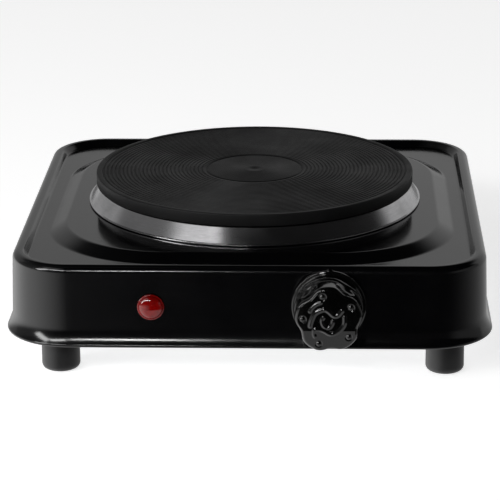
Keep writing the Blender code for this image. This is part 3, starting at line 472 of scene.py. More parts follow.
# ---------------- where things are
@dataclass(frozen=True)
class Layout:
    """Axes that the sub-assemblies are built on, about the plate's axis and the worktop."""

    knob_x: float = 37.0
    knob_z: float = 38.8
    screw_reach: float = 10.5
    lamp_x: float = -43.5
    lamp_z: float = 37.0
    gland_x: float = -60.0
    gland_z: float = 36.0
    skirt: Pair = (27.5, 109.9)
    wall_top: Pair = (52.2, 109.1)

    def plate_y(self) -> float:
        """The plate axis's y in the frame, in metres."""
        low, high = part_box("hotplate")
        return (low[1] + high[1]) / 2

    def plate_frame(self) -> Matrix:
        """Frame of the plate's axis, with z = 0 on the worktop."""
        return Matrix.Translation((0.0, self.plate_y(), 0.0))

    def wall_half(self, z: float) -> float:
        """Half-width of the drafted wall at a height, in millimetres."""
        (low_z, low), (high_z, high) = self.skirt, self.wall_top
        return low + (high - low) * (z - low_z) / (high_z - low_z)

    def on_wall(self, x: float, z: float, front: bool = True) -> Matrix:
        """Frame whose z axis points out of the front or rear wall.

        Args:
            x: Place across the wall, in millimetres.
            z: Height, in millimetres.
            front: Whether it is the front wall.

        Returns:
            The frame, its origin on the wall's outside.
        """
        side = -1 if front else 1
        spot = Vector((x * MM, side * self.wall_half(z) * MM, z * MM))
        outward = Matrix.Rotation(math.radians(-90 * side), 4, "X")
        return self.plate_frame() @ Matrix.Translation(spot) @ outward


LAYOUT = Layout()


# ---------------- housing
@dataclass
class Housing:
    """Pressed steel shell: flared skirt, drafted wall, raised rim, tray and raised field."""

    corner_centre: float = 81.5
    flare_radius: float = 14.0
    flare_angle: float = 34.9
    lip_radius: float = 0.98
    lip_start: float = -100.0
    wall_shares: tuple[float, ...] = (0.02, 0.35, 0.65, 0.98)
    rim_radius: float = 3.5
    rim_flat: float = 1.0
    tray_drop: float = 3.0
    tray_bend: float = 0.3
    tray_half: float = 101.3
    field_foot: Pair = (96.5, 55.0)
    field_edge: Pair = (88.0, 50.0)
    field_z: float = 56.1
    sheet: float = 0.8
    opening: float = 72.5
    corner_steps: int = 24
    side_shares: tuple[float, ...] = (0.015, 0.2, 0.4, 0.6, 0.8, 0.985)
    lip_steps: int = 9
    bend_steps: int = 12
    field_steps: int = 14
    inside_from: int = 6
    drill_reach: float = 8.0
    drill_facets: int = 48
    holes: tuple[tuple[float, float, float, bool], ...] = (
        (LAYOUT.knob_x, LAYOUT.knob_z, 5.8, True), (LAYOUT.lamp_x, LAYOUT.lamp_z, 5.6, True),
        (LAYOUT.knob_x - LAYOUT.screw_reach, LAYOUT.knob_z, 1.9, True),
        (LAYOUT.knob_x + LAYOUT.screw_reach, LAYOUT.knob_z, 1.9, True),
        (LAYOUT.gland_x, LAYOUT.gland_z, 7.3, False))

    def square_ring(self, half: float, corner: float, z: float) -> Ring:
        """Ring of points round a square with rounded corners.

        Args:
            half: Half-width across flats.
            corner: Corner radius.
            z: Height.

        Returns:
            The ring's points.
        """
        inner = half - corner
        corners = []
        for quarter, (sx, sy) in enumerate(((1, 1), (-1, 1), (-1, -1), (1, -1))):
            corners.append(arc((sx * inner, sy * inner), corner, 90 * quarter, 90 * quarter + 90,
                               self.corner_steps))
        ring: Ring = []
        for here, following in zip(corners, corners[1:] + corners[:1]):
            ring += [(x, y, z) for x, y in here]
            (x0, y0), (x1, y1) = here[-1], following[0]
            ring += [(x0 + (x1 - x0) * t, y0 + (y1 - y0) * t, z) for t in self.side_shares]
        return ring

    def section(self) -> list[Point]:
        """Outer skin from the rolled lip up to the raised field.

        Returns:
            Half-width, corner radius and height of each level.
        """
        skirt_z, skirt = LAYOUT.skirt
        wall_z, wall = LAYOUT.wall_top
        flare = math.radians(self.flare_angle)
        centre = (skirt + self.flare_radius, skirt_z)
        end = (centre[0] - self.flare_radius * math.cos(flare), skirt_z - self.flare_radius * math.sin(flare))
        lip = (end[0] - self.lip_radius * math.cos(flare), end[1] - self.lip_radius * math.sin(flare))
        path = arc(lip, self.lip_radius, self.lip_start, self.flare_angle, self.lip_steps)
        path += arc(centre, self.flare_radius, 180 + self.flare_angle, 180, self.bend_steps)[1:]
        for share in self.wall_shares:
            path.append((skirt + (wall - skirt) * share, skirt_z + (wall_z - skirt_z) * share))
        path += arc((wall - self.rim_radius, wall_z), self.rim_radius, 0, 90, self.bend_steps)
        rim_z = wall_z + self.rim_radius
        rim_inner = wall - self.rim_radius - self.rim_flat
        for step in range(self.bend_steps + 1):
            share = step / self.bend_steps
            path.append((rim_inner + (self.tray_half - rim_inner) * share,
                         rim_z - self.tray_drop * eased(share, self.tray_bend)))
        levels = [(half, half - self.corner_centre, z) for half, z in path]
        tray_z = rim_z - self.tray_drop
        for step in range(self.field_steps + 1):
            share = step / self.field_steps
            levels.append((self.field_foot[0] + (self.field_edge[0] - self.field_foot[0]) * share,
                           self.field_foot[1] + (self.field_edge[1] - self.field_foot[1]) * share,
                           tray_z + (self.field_z - tray_z) * eased(share)))
        return levels

    def inside(self, levels: Sequence[Point]) -> list[Point]:
        """The same skin one sheet further in, square to its own path.

        Args:
            levels: Outer skin's levels.

        Returns:
            Levels of the inner skin.
        """
        found = []
        for i, (half, corner, z) in enumerate(levels):
            before, after = levels[max(i - 1, 0)], levels[min(i + 1, len(levels) - 1)]
            along = Vector((after[0] - before[0], after[2] - before[2])).normalized()
            inward, upward = along.y * self.sheet, along.x * self.sheet
            found.append((half - inward, corner - inward, z + upward))
        first = found[0]
        found[0] = (first[0] - self.sheet, first[1] - self.sheet, levels[0][2] + self.sheet)
        return found

    def build(self) -> None:
        """Make the shell with its openings and hand it over."""
        outer = self.section()
        inner = self.inside(outer[self.inside_from:])
        rings = [self.square_ring(*level) for level in reversed(inner)]
        rings += [self.square_ring(*level) for level in outer]
        for z in (self.field_z, self.field_z - self.sheet):
            edge = [(x, y, math.hypot(x, y)) for x, y, _ in rings[-1]]
            rings.append([(x / far * self.opening, y / far * self.opening, z) for x, y, far in edge])
        bm = bmesh.new()
        skin_rings(bm, rings, closed=True)
        shell = add_piece("enamelled_shell", bm, ENAMEL, LAYOUT.plate_frame())
        drills = []
        for number, (x, z, radius, front) in enumerate(self.holes):
            ends = (-self.drill_reach, self.drill_reach)
            drill = lathe(((0, ends[0]), (radius, ends[0]), (radius, ends[1]), (0, ends[1])),
                          self.drill_facets, closed=False)
            drills.append(add_piece(f"drill_{number}", drill, ZINC, LAYOUT.on_wall(x, z, front)))
        cut(shell, drills)
        flats = shell.modifiers.new("flat_walls", "WEIGHTED_NORMAL")
        flats.keep_sharp = True
        hand_over(shell, "body", "enamelled_body", "housing")


# ---------------- plate and trim ring
@dataclass
class CookingPlate:
    """Cast-iron plate with turned grooves, and the conical trim ring under its edge."""

    radius: float = 77.5
    top: float = 70.6
    edge_bottom: float = 64.9
    edge_round: float = 0.55
    neck: float = 75.0
    bottom: float = 59.6
    channel_top: float = 65.2
    channels: Pairs = ((47.0, 69.0), (22.0, 42.0))
    stud_bore: Pair = (3.3, 66.3)
    land: float = 70.35
    # Start, end, number and depth of the grooves, then one groove as shares of its pitch and depth.
    coarse: tuple[float, float, int, float] = (24.4, 74.6, 26, 0.46)
    fine: tuple[float, float, int, float] = (5.0, 22.8, 19, 0.05)
    groove: Pairs = ((0.0, 0.0), (0.5, 0.0), (0.57, 0.7), (0.66, 1.0), (0.8, 1.0), (0.88, 0.7), (0.95, 0.0))
    # Eye and inner circle: radius and depth under the land. Border: radius and height over it.
    eye: Pairs = ((0.0, 0.55), (1.5, 0.39), (2.7, 0.06), (3.3, 0.0))
    inner_circle: Pairs = ((22.8, 0.0), (23.1, 0.35), (23.5, 0.6), (24.0, 0.35))
    border: Pairs = ((74.6, 0.0), (74.8, 0.0), (75.0, 0.2), (75.2, 0.25))
    # Under edge, and the ring's foot: distance in and up from the corner that is turned.
    under_edge: Pairs = ((0.0, 0.5), (0.15, 0.12), (0.5, 0.0))
    ring_top: Pair = (76.2, 64.0)
    ring_foot: Pair = (81.2, 56.5)
    ring_foot_lip: Pairs = ((0.75, 0.62), (0.0, 0.56), (0.0, 0.0), (0.9, 0.0), (1.72, 0.7))
    ring_lip: float = 75.5
    ring_bend: float = 0.4
    ring_sheet: float = 0.6
    ring_rounding: float = 0.12
    facets: int = 224

    def grooves(self, start: float, end: float, count: int, depth: float) -> list[Pair]:
        """Round-bottomed grooves side by side.

        Args:
            start: Radius where the first land begins.
            end: Radius where the last land ends.
            count: Number of grooves.
            depth: Depth of each groove.

        Returns:
            Radius and height of the profile's points, going outward.
        """
        pitch = (end - start) / count
        return [(start + pitch * (number + share), self.land - depth * sunk)
                for number in range(count) for share, sunk in self.groove]

    def build_plate(self) -> None:
        """Make the grooved plate and hand it over."""
        profile = [(radius, self.land - depth) for radius, depth in self.eye]
        profile += self.grooves(*self.fine)
        profile += [(radius, self.land - depth) for radius, depth in self.inner_circle]
        profile += self.grooves(*self.coarse)
        profile += [(radius, self.land + rise) for radius, rise in self.border]
        profile += arc((self.radius - self.edge_round, self.top - self.edge_round), self.edge_round, 90, 0, 6)
        profile += [(self.radius - inward, self.edge_bottom + rise) for inward, rise in self.under_edge]
        profile += [(self.neck, self.edge_bottom), (self.neck, self.bottom)]
        for inner, outer in self.channels:
            profile += [(outer, self.bottom), (outer, self.channel_top), (inner, self.channel_top),
                        (inner, self.bottom)]
        bore, bore_top = self.stud_bore
        profile += [(bore, self.bottom), (bore, bore_top), (0.0, bore_top)]
        plate = lathe(profile, self.facets, closed=False)
        piece = add_piece("grooved_plate", plate, CAST_IRON, LAYOUT.plate_frame(), sharp=50)
        hand_over(piece, "body", "cast_iron_plate", "hotplate")

    def build_ring(self) -> None:
        """Make the trim ring and hand it over."""
        (top_r, top_z), (foot_r, foot_z) = self.ring_top, self.ring_foot
        corners = [(self.ring_lip, top_z + self.ring_bend), (top_r, top_z)]
        corners += [(foot_r - inward, foot_z + rise) for inward, rise in self.ring_foot_lip]
        under_z = top_z - self.ring_sheet
        corners += [(top_r - self.ring_bend, under_z), (self.ring_lip, under_z)]
        ring = lathe(rounded(corners, self.ring_rounding), self.facets)
        hand_over(add_piece("trim_cone", ring, STAINLESS, LAYOUT.plate_frame(), sharp=60), "body",
                  "trim_stainless", "trim_ring")

    def build(self) -> None:
        """Make both pieces."""
        self.build_plate()
        self.build_ring()


# ---------------- knob
@dataclass(frozen=True)
class RaisedLine:
    """A line raised on the knob's face: half its width, its height, and its knots across and up."""

    width: float
    rise: float
    knots: Pairs


@dataclass
class Knob:
    """Five-lobed knob: thin skirt with a pointer, finger hollows, beads and a raised swirl."""

    lobes: int = 5
    lobe_angle: float = 22.0
    notch: float = 0.28
    facets: int = 288
    face_rings: int = 76
    face_edge: float = 13.3
    face_top: float = 23.42
    face_fall: float = 0.25
    # How far under the middle the face starts to lean back, and its slope from there.
    face_slope: Pair = (4.6, 0.085)
    face_lobe: float = 0.88
    lobe_fade: int = 6
    # Distance from the wall, middle radius and height of the lobes, going outward.
    side: tuple[tuple[float, float, float], ...] = (
        (2.0, 16.4, 0.0), (2.15, 16.7, 0.0), (2.5, 16.88, 0.0), (3.2, 16.9, 0.0), (3.8, 16.86, 0.0),
        (4.15, 16.65, 0.0), (4.3, 16.3, 0.0), (4.4, 15.5, 0.0), (4.8, 15.1, 0.03), (6.0, 15.1, 0.1),
        (8.0, 15.3, 0.25), (9.4, 15.42, 0.4), (9.9, 15.4, 0.45), (10.3, 15.28, 0.48), (10.65, 15.05, 0.5),
        (10.9, 14.75, 0.52), (11.2, 14.6, 0.55), (14.0, 14.7, 0.66), (17.0, 14.72, 0.74), (20.0, 14.7, 0.82),
        (20.8, 14.66, 0.86), (21.4, 14.5, 0.88), (21.9, 14.2, 0.9), (22.25, 13.8, 0.9), (22.45, 13.3, 0.88))
    side_refine: int = 3
    grip: Pair = (11.0, 21.3)
    # A finger hollow: distance from the wall, half-length, half-width and depth, then its sloping share
    # and the slope's power.
    hollow: tuple[float, float, float, float] = (16.2, 4.6, 5.0, 0.9)
    hollow_slope: Pair = (0.4, 0.7)
    # The skirt's pointer: half-width and rise, middle and fade, and where it starts and stops.
    pointer: Pair = (2.2, 1.3)
    pointer_place: Pair = (3.4, 1.2)
    pointer_span: Pair = (2.4, 4.5)
    # Bore: radius, distance of its flat from the axis, both ends. Behind: hub and hollow.
    bore: float = 3.3
    bore_flat: float = 2.7
    bore_span: Pair = (15.6, 2.4)
    behind: Pairs = ((5.8, 2.4), (5.8, 16.0), (11.2, 16.0), (11.6, 4.4), (13.7, 4.4), (13.7, 2.0))
    beads: tuple[float, ...] = (33.0, 104.0, 176.0, 248.0, 320.0)
    bead_place: float = 11.6
    bead_radius: float = 1.15
    bead_curve: float = 1.7
    bead_rise: float = 0.42
    bead_root: float = 0.4
    bead_steps: int = 10
    bead_facets: int = 28
    # Radius, half-width and depth of the groove round each bead.
    moat: tuple[float, float, float] = (1.3, 0.5, 0.3)
    ornament: tuple[RaisedLine, ...] = (
        RaisedLine(1.15, 0.5, ((-8.2, -2.2), (-7.9, -0.6), (-7.3, 1.2), (-6.1, 3.6), (-3.9, 5.0), (-1.7, 5.5),
                               (0.0, 4.6), (1.8, 2.9), (3.1, 2.5), (4.4, 3.2), (5.8, 5.0))),
        RaisedLine(0.95, 0.4, ((-2.4, 1.8), (-3.0, 0.4), (-2.6, -1.5), (-1.3, -2.9), (0.5, -2.7), (1.6, -1.0),
                               (1.8, 0.4))),
        RaisedLine(1.1, 0.45, ((-6.2, -7.2), (-6.6, -5.7), (-6.2, -4.0), (-5.0, -3.9), (-3.5, -4.0),
                               (-1.7, -4.8), (0.0, -5.9), (1.8, -6.1), (4.0, -5.0), (6.2, -2.6), (7.0, -0.6),
                               (7.0, 2.0))),
        RaisedLine(0.9, 0.42, ((-8.3, 4.6), (-7.6, 5.9), (-6.6, 7.1), (-5.2, 8.1), (-3.5, 8.8))))

    def to_line(self, x: np.ndarray, y: np.ndarray, line: Sequence[Pair]) -> np.ndarray:
        """Distance of each point of the face to a drawn line.

        Args:
            x: Points across.
            y: Points up.
            line: The line's points.

        Returns:
            Distances in millimetres.
        """
        nearest = np.full(x.shape, 1e9)
        for (ax, ay), (bx, by) in zip(line, line[1:]):
            dx, dy = bx - ax, by - ay
            share = np.clip(((x - ax) * dx + (y - ay) * dy) / (dx * dx + dy * dy), 0, 1)
            nearest = np.minimum(nearest, np.hypot(x - ax - share * dx, y - ay - share * dy))
        return nearest

    def plain_face(self, x: np.ndarray, y: np.ndarray) -> np.ndarray:
        """Height of the face without its ornament: a shallow dome that drops away at the bottom.

        Args:
            x: Points across, in millimetres.
            y: Points up, in millimetres.

        Returns:
            Distance from the wall at each point.
        """
        start, steep = self.face_slope
        dome = self.face_top - self.face_fall * (np.hypot(x, y) / self.face_edge) ** 2
        return dome - steep * np.clip(-y - start, 0, None)

    def relief(self, x: np.ndarray, y: np.ndarray) -> np.ndarray:
        """Height of the face's ornament over the plain face.

        Args:
            x: Points across, in millimetres.
            y: Points up, in millimetres.

        Returns:
            Height at each point.
        """
        height = np.zeros(x.shape)
        for line in self.ornament:
            share = np.clip(1 - self.to_line(x, y, self.smooth(line.knots)) / line.width, 0, 1)
            height = np.maximum(height, line.rise * np.sin(share * math.pi / 2) ** 1.5)
        radius, wide, depth = self.moat
        for bead_x, bead_y in self.bead_spots():
            away = np.hypot(x - bead_x, y - bead_y)
            height = height - depth * np.clip(1 - np.abs(away - radius) / wide, 0, 1)
        return height

    def bead_spots(self) -> list[Pair]:
        """Where the beads stand on the face, across and up."""
        turns = [math.radians(angle) for angle in self.beads]
        return [(self.bead_place * math.cos(turn), self.bead_place * math.sin(turn)) for turn in turns]

    def smooth(self, line: Sequence[Pair]) -> list[Pair]:
        """A finer line that runs smoothly through a drawn line's knots.

        Args:
            line: The knots.

        Returns:
            Points of the finer line.
        """
        knots = [line[0], *line, line[-1]]
        fine = []
        for a, b, c, d in zip(knots, knots[1:], knots[2:], knots[3:]):
            for t in (0.0, 0.25, 0.5, 0.75):
                weights = (2 * t ** 2 - t - t ** 3, 2 - 5 * t ** 2 + 3 * t ** 3,
                           t + 4 * t ** 2 - 3 * t ** 3, t ** 3 - t ** 2)
                pulls = list(zip(weights, (a, b, c, d)))
                fine.append(tuple(sum(weight * knot[k] for weight, knot in pulls) / 2 for k in (0, 1)))
        return [*fine, line[-1]]

    def wave(self, phase: np.ndarray) -> np.ndarray:
        """Broad lobes, a little over 0.7 high, with narrower notches that go down to -1.28."""
        return np.cos(phase) - self.notch * np.cos(2 * phase)

    def outline(self, away: float, radius: float, lobe: float) -> Ring:
        """Ring of the lobed outline at a distance from the wall.

        Args:
            away: Distance from the wall.
            radius: Middle radius.
            lobe: Height of the lobes over it.

        Returns:
            The ring's points.
        """
        turn = np.arange(self.facets) * 2 * math.pi / self.facets
        phase = self.lobes * (turn - math.radians(self.lobe_angle))
        reach = radius + lobe * self.wave(phase)
        if self.grip[0] < away < self.grip[1]:
            middle, long, wide, depth = self.hollow
            band, power = self.hollow_slope
            side = (np.mod(phase, 2 * math.pi) - math.pi) / self.lobes * radius
            far = np.sqrt(((away - middle) / long) ** 2 + (side / wide) ** 2)
            reach = reach - depth * np.clip((1 - far) / band, 0, 1) ** power
        if self.pointer_span[0] < away < self.pointer_span[1]:
            (wide, rise), (middle, fade) = self.pointer, self.pointer_place
            off = np.abs(np.mod(turn - math.pi / 2 + math.pi, 2 * math.pi) - math.pi) * radius
            reach = reach + rise * np.clip(1 - off / wide, 0, 1) * (1 - abs(away - middle) / fade)
        return [(r * math.cos(a), r * math.sin(a), away) for r, a in zip(reach.tolist(), turn.tolist())]

    def side_rings(self) -> list[Ring]:
        """Rings of skirt and grip, from the back to the face's shoulder.

        Returns:
            The rings, with more of them than there are stations.
        """
        stations = np.array(self.side)
        last = len(stations) - 1
        finer = np.linspace(0, last, last * self.side_refine + 1)
        away, radius, lobe = (np.interp(finer, np.arange(last + 1), column).tolist() for column in stations.T)
        return [self.outline(*station) for station in zip(away, radius, lobe)]

    def face_ring(self, share: float) -> Ring:
        """Ring of the face at a share of its way from the pole to its edge.

        Args:
            share: 0 at the pole, 1 at the edge.

        Returns:
            The ring's points, ornament included.
        """
        turn = np.arange(self.facets) * 2 * math.pi / self.facets
        wave = self.wave(self.lobes * (turn - math.radians(self.lobe_angle)))
        reach = self.face_edge * share + self.face_lobe * wave * share ** self.lobe_fade
        x, y = reach * np.cos(turn), reach * np.sin(turn)
        high = self.plain_face(x, y) + self.relief(x, y)
        return list(zip(x.tolist(), y.tolist(), high.tolist()))

    def inside_rings(self) -> list[Ring]:
        """Bore, hub and hollow of the back, as in the CAD knob.

        Returns:
            The rings, from the bore's blind end to the back of the skirt.
        """
        rings: list[Ring] = [[(0.0, 0.0, self.bore_span[0])]]
        for level in self.bore_span:
            round_bore = circle(self.bore, level, self.facets)
            rings.append([(x, max(y, -self.bore_flat), z) for x, y, z in round_bore])
        return rings + [circle(radius, z, self.facets) for radius, z in self.behind]

    def add_beads(self, bm: Skin) -> None:
        """Stand the shallow beads on the face.

        Args:
            bm: The knob's mesh.
        """
        cap = [circle(self.bead_radius, -self.bead_root, self.bead_facets)]
        for step in range(self.bead_steps + 1):
            radius = self.bead_radius * (self.bead_steps - step) / self.bead_steps
            sunk = self.bead_curve - math.sqrt(self.bead_curve ** 2 - radius ** 2)
            cap.append(circle(radius, self.bead_rise - sunk, self.bead_facets))
        for x, y in self.bead_spots():
            base = float(self.plain_face(x, y))
            skin_rings(bm, [[(x + px, y + py, base + pz) for px, py, pz in ring] for ring in cap])

    def build(self) -> None:
        """Make the knob and hand it over."""
        rings = self.inside_rings() + self.side_rings()
        rings += [self.face_ring(1 - step / self.face_rings) for step in range(self.face_rings)]
        rings.append([(0.0, 0.0, self.face_top)])
        bm = bmesh.new()
        skin_rings(bm, rings)
        self.add_beads(bm)
        piece = add_piece("lobed_knob", bm, PHENOLIC, LAYOUT.on_wall(LAYOUT.knob_x, LAYOUT.knob_z), sharp=40)
        hand_over(piece, "knob", "knob_plastic", "knob")


# ---------------- lamp, feet, gland
@dataclass
class Lamp:
    """Red indicator lens: a collar, a dome and a hollow barrel."""

    radius: float = 6.1
    height: float = 3.6
    dome_radius: float = 5.5
    dome_base: float = 1.2
    barrel: float = 5.1
    wall: float = 1.0
    depth: float = 9.0
    seat: float = 0.5
    # Distance in from the collar's radius and height over the wall, round the collar's edge.
    collar: Pairs = ((0.3, 0.5), (0.0, 0.65), (0.0, 0.95), (0.12, 1.12), (0.35, 1.2))
    # Radius and height of the hollow behind the dome.
    hollow: Pairs = ((0.0, 2.3), (2.6, 1.7))
    facets: int = 96

    def build(self) -> None:
        """Make the lens and hand it over."""
        dome = [(self.dome_radius * math.cos(math.radians(a)),
                 self.dome_base + (self.height - self.dome_base) * math.sin(math.radians(a)))
                for a in range(0, 90, 6)]
        inside = self.barrel - self.wall
        profile = [*self.hollow, (inside, self.seat), (inside, -self.depth), (self.barrel, -self.depth),
                   (self.barrel, self.seat), *((self.radius - inward, z) for inward, z in self.collar),
                   *dome, (0.0, self.height)]
        lens = lathe(profile, self.facets, closed=False)
        piece = add_piece("lamp_dome", lens, RED_LENS, LAYOUT.on_wall(LAYOUT.lamp_x, LAYOUT.lamp_z), sharp=50)
        hand_over(piece, "body", "lens_red", "lamp_lens")


@dataclass
class Feet:
    """Four round rubber feet with a screw well in each."""

    radius: float = 8.9
    round_edge: float = 2.5
    top: float = 19.3
    straight_from: float = 4.0
    # Distance in from the radius and down from the top, round the upper edge.
    shoulder: Pairs = ((0.1, 1.2), (0.2, 0.5), (0.6, 0.0))
    well: float = 4.0
    well_edge: float = 0.3
    well_top: float = 9.0
    bore: float = 2.4
    facets: int = 72
    corners: tuple[str, ...] = ("front_left", "front_right", "rear_left", "rear_right")

    def profile(self) -> list[Pair]:
        """Closed profile of one foot."""
        edge = arc((self.radius - self.round_edge, self.round_edge), self.round_edge, -90, 0, 8)
        return [(self.well + self.well_edge, 0.0), *edge, (self.radius, self.straight_from),
                *((self.radius - inward, self.top - drop) for inward, drop in self.shoulder),
                (self.bore, self.top), (self.bore, self.well_top), (self.well, self.well_top),
                (self.well, self.well_edge)]

    def build(self) -> None:
        """Make each foot where its CAD node stands."""
        for corner in self.corners:
            low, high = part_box(f"foot_{corner}")
            spot = Vector(((low[0] + high[0]) / 2, (low[1] + high[1]) / 2, low[2]))
            piece = add_piece(f"rubber_foot_{corner}", lathe(self.profile(), self.facets), RUBBER,
                              Matrix.Translation(spot), sharp=45)
            hand_over(piece, "body", "foot_rubber", f"foot_{corner}")


@dataclass
class CordGland:
    """Cord gland in the rear wall, with a ribbed nose."""

    bore: float = 4.1
    barrel: float = 6.8
    inner_end: float = -12.0
    seat: float = 0.7
    flange: float = 9.0
    flange_front: float = 2.6
    flange_edges: Pair = (0.2, 0.4)
    nose_start: Pair = (7.4, 3.4)
    nose_end: Pair = (6.2, 9.6)
    # One rib: share of its length, and how far the nose is sunk there.
    rib: Pairs = ((0.05, 0.0), (0.55, 0.0), (0.68, 0.35), (0.9, 0.35))
    ribs: int = 5
    tip: Pairs = ((5.7, 10.2), (4.5, 10.2), (4.1, 9.6))
    facets: int = 96

    def build(self) -> None:
        """Make the gland and hand it over."""
        (start, start_z), (end, end_z) = self.nose_start, self.nose_end
        nose = []
        for number in range(self.ribs):
            for share, sunk in self.rib:
                along = (number + share) / self.ribs
                nose.append((start + (end - start) * along - sunk, start_z + (end_z - start_z) * along))
        back, front = self.flange_edges
        profile = [(self.bore, self.inner_end), (self.barrel, self.inner_end), (self.barrel, self.seat),
                   (self.flange - back, self.seat), (self.flange, self.seat + back),
                   (self.flange, self.flange_front - front), (self.flange - front, self.flange_front),
                   *nose, *self.tip]
        piece = add_piece("ribbed_gland", lathe(profile, self.facets), POLYAMIDE,
                          LAYOUT.on_wall(LAYOUT.gland_x, LAYOUT.gland_z, front=False), sharp=35)
        hand_over(piece, "body", "black_plastic", "cord_gland")


# ---------------- pieces kept from the CAD
@dataclass
class InnerWorks:
    """Everything under the plate and inside the shell, which keeps its CAD shape."""

    finishes: dict[str, Finish] = field(default_factory=lambda: {
        "zinc_steel": ZINC, "brass": BRASS, "black_plastic": POLYAMIDE, "bulb_glass": BULB_GLASS,
        "ceramic": STEATITE, "magnesia": MAGNESIA, "heating_wire": WIRE, "white_insulation": SILICONE,
        "earth_insulation": EARTH_SLEEVE, "trim_stainless": STAINLESS})

    def build(self, redrawn: set[str]) -> None:
        """Dress each CAD node that is still shown.

        Args:
            redrawn: Nodes that a finer piece stands for.
        """
        slots = {part["node"]: part["material_slot"] for part in frame["record"]["subparts"]}
        for name, node in frame["nodes"].items():
            if name in redrawn:
                continue
            finish = self.finishes[slots[name]]
            node.data.materials.clear()
            node.data.materials.append(finish.make())
            LOG.info("%s: CAD shape in %s", name, finish.name)


# ---------------- studio
class Ease(Enum):
    """How a fade goes from one level to the other."""

    SOFT = "SMOOTHSTEP"
    STRAIGHT = "LINEAR"


class Join(Enum):
    """How two levels of brightness become one."""

    DIM = "MULTIPLY"
    BRIGHTEST = "MAXIMUM"


@dataclass(frozen=True)
class Fade:
    """A change of the room's brightness between two places along a direction, level before and after."""

    start: float
    end: float
    low: float
    high: float
    ease: Ease = Ease.SOFT

    def read(self, tree: Tree, along: Socket) -> Socket:
        """Add the fade to the room.

        Args:
            tree: The room's node tree.
            along: Part of the direction that the fade follows.

        Returns:
            The brightness.
        """
        return add_node(tree, "MapRange", {"interpolation_type": self.ease.value},
                        {"Value": along, "From Min": self.start, "From Max": self.end,
                         "To Min": self.low, "To Max": self.high}).outputs[0]


@dataclass(frozen=True)
class SoftLight:
    """A soft rectangular light: place and size in metres, brightness of its face, lean in degrees."""

    name: str
    spot: Point
    size: Pair
    radiance: float
    lean: float = 0.0
    aim: Point = (0.0, 0.0, 0.04)

    def hang(self) -> None:
        """Add the light, turned to face the object."""
        lamp = bpy.data.lights.new(self.name, "AREA")
        lamp.shape = "RECTANGLE"
        lamp.size, lamp.size_y = self.size
        lamp.energy = self.radiance * math.pi * self.size[0] * self.size[1]
        holder = bpy.data.objects.new(self.name, lamp)
        holder.location = self.spot
        facing = (Vector(self.aim) - Vector(self.spot)).to_track_quat("-Z", "Y").to_matrix()
        holder.rotation_euler = (facing @ Matrix.Rotation(math.radians(self.lean), 3, "Z")).to_euler()
        bpy.context.scene.collection.objects.link(holder)


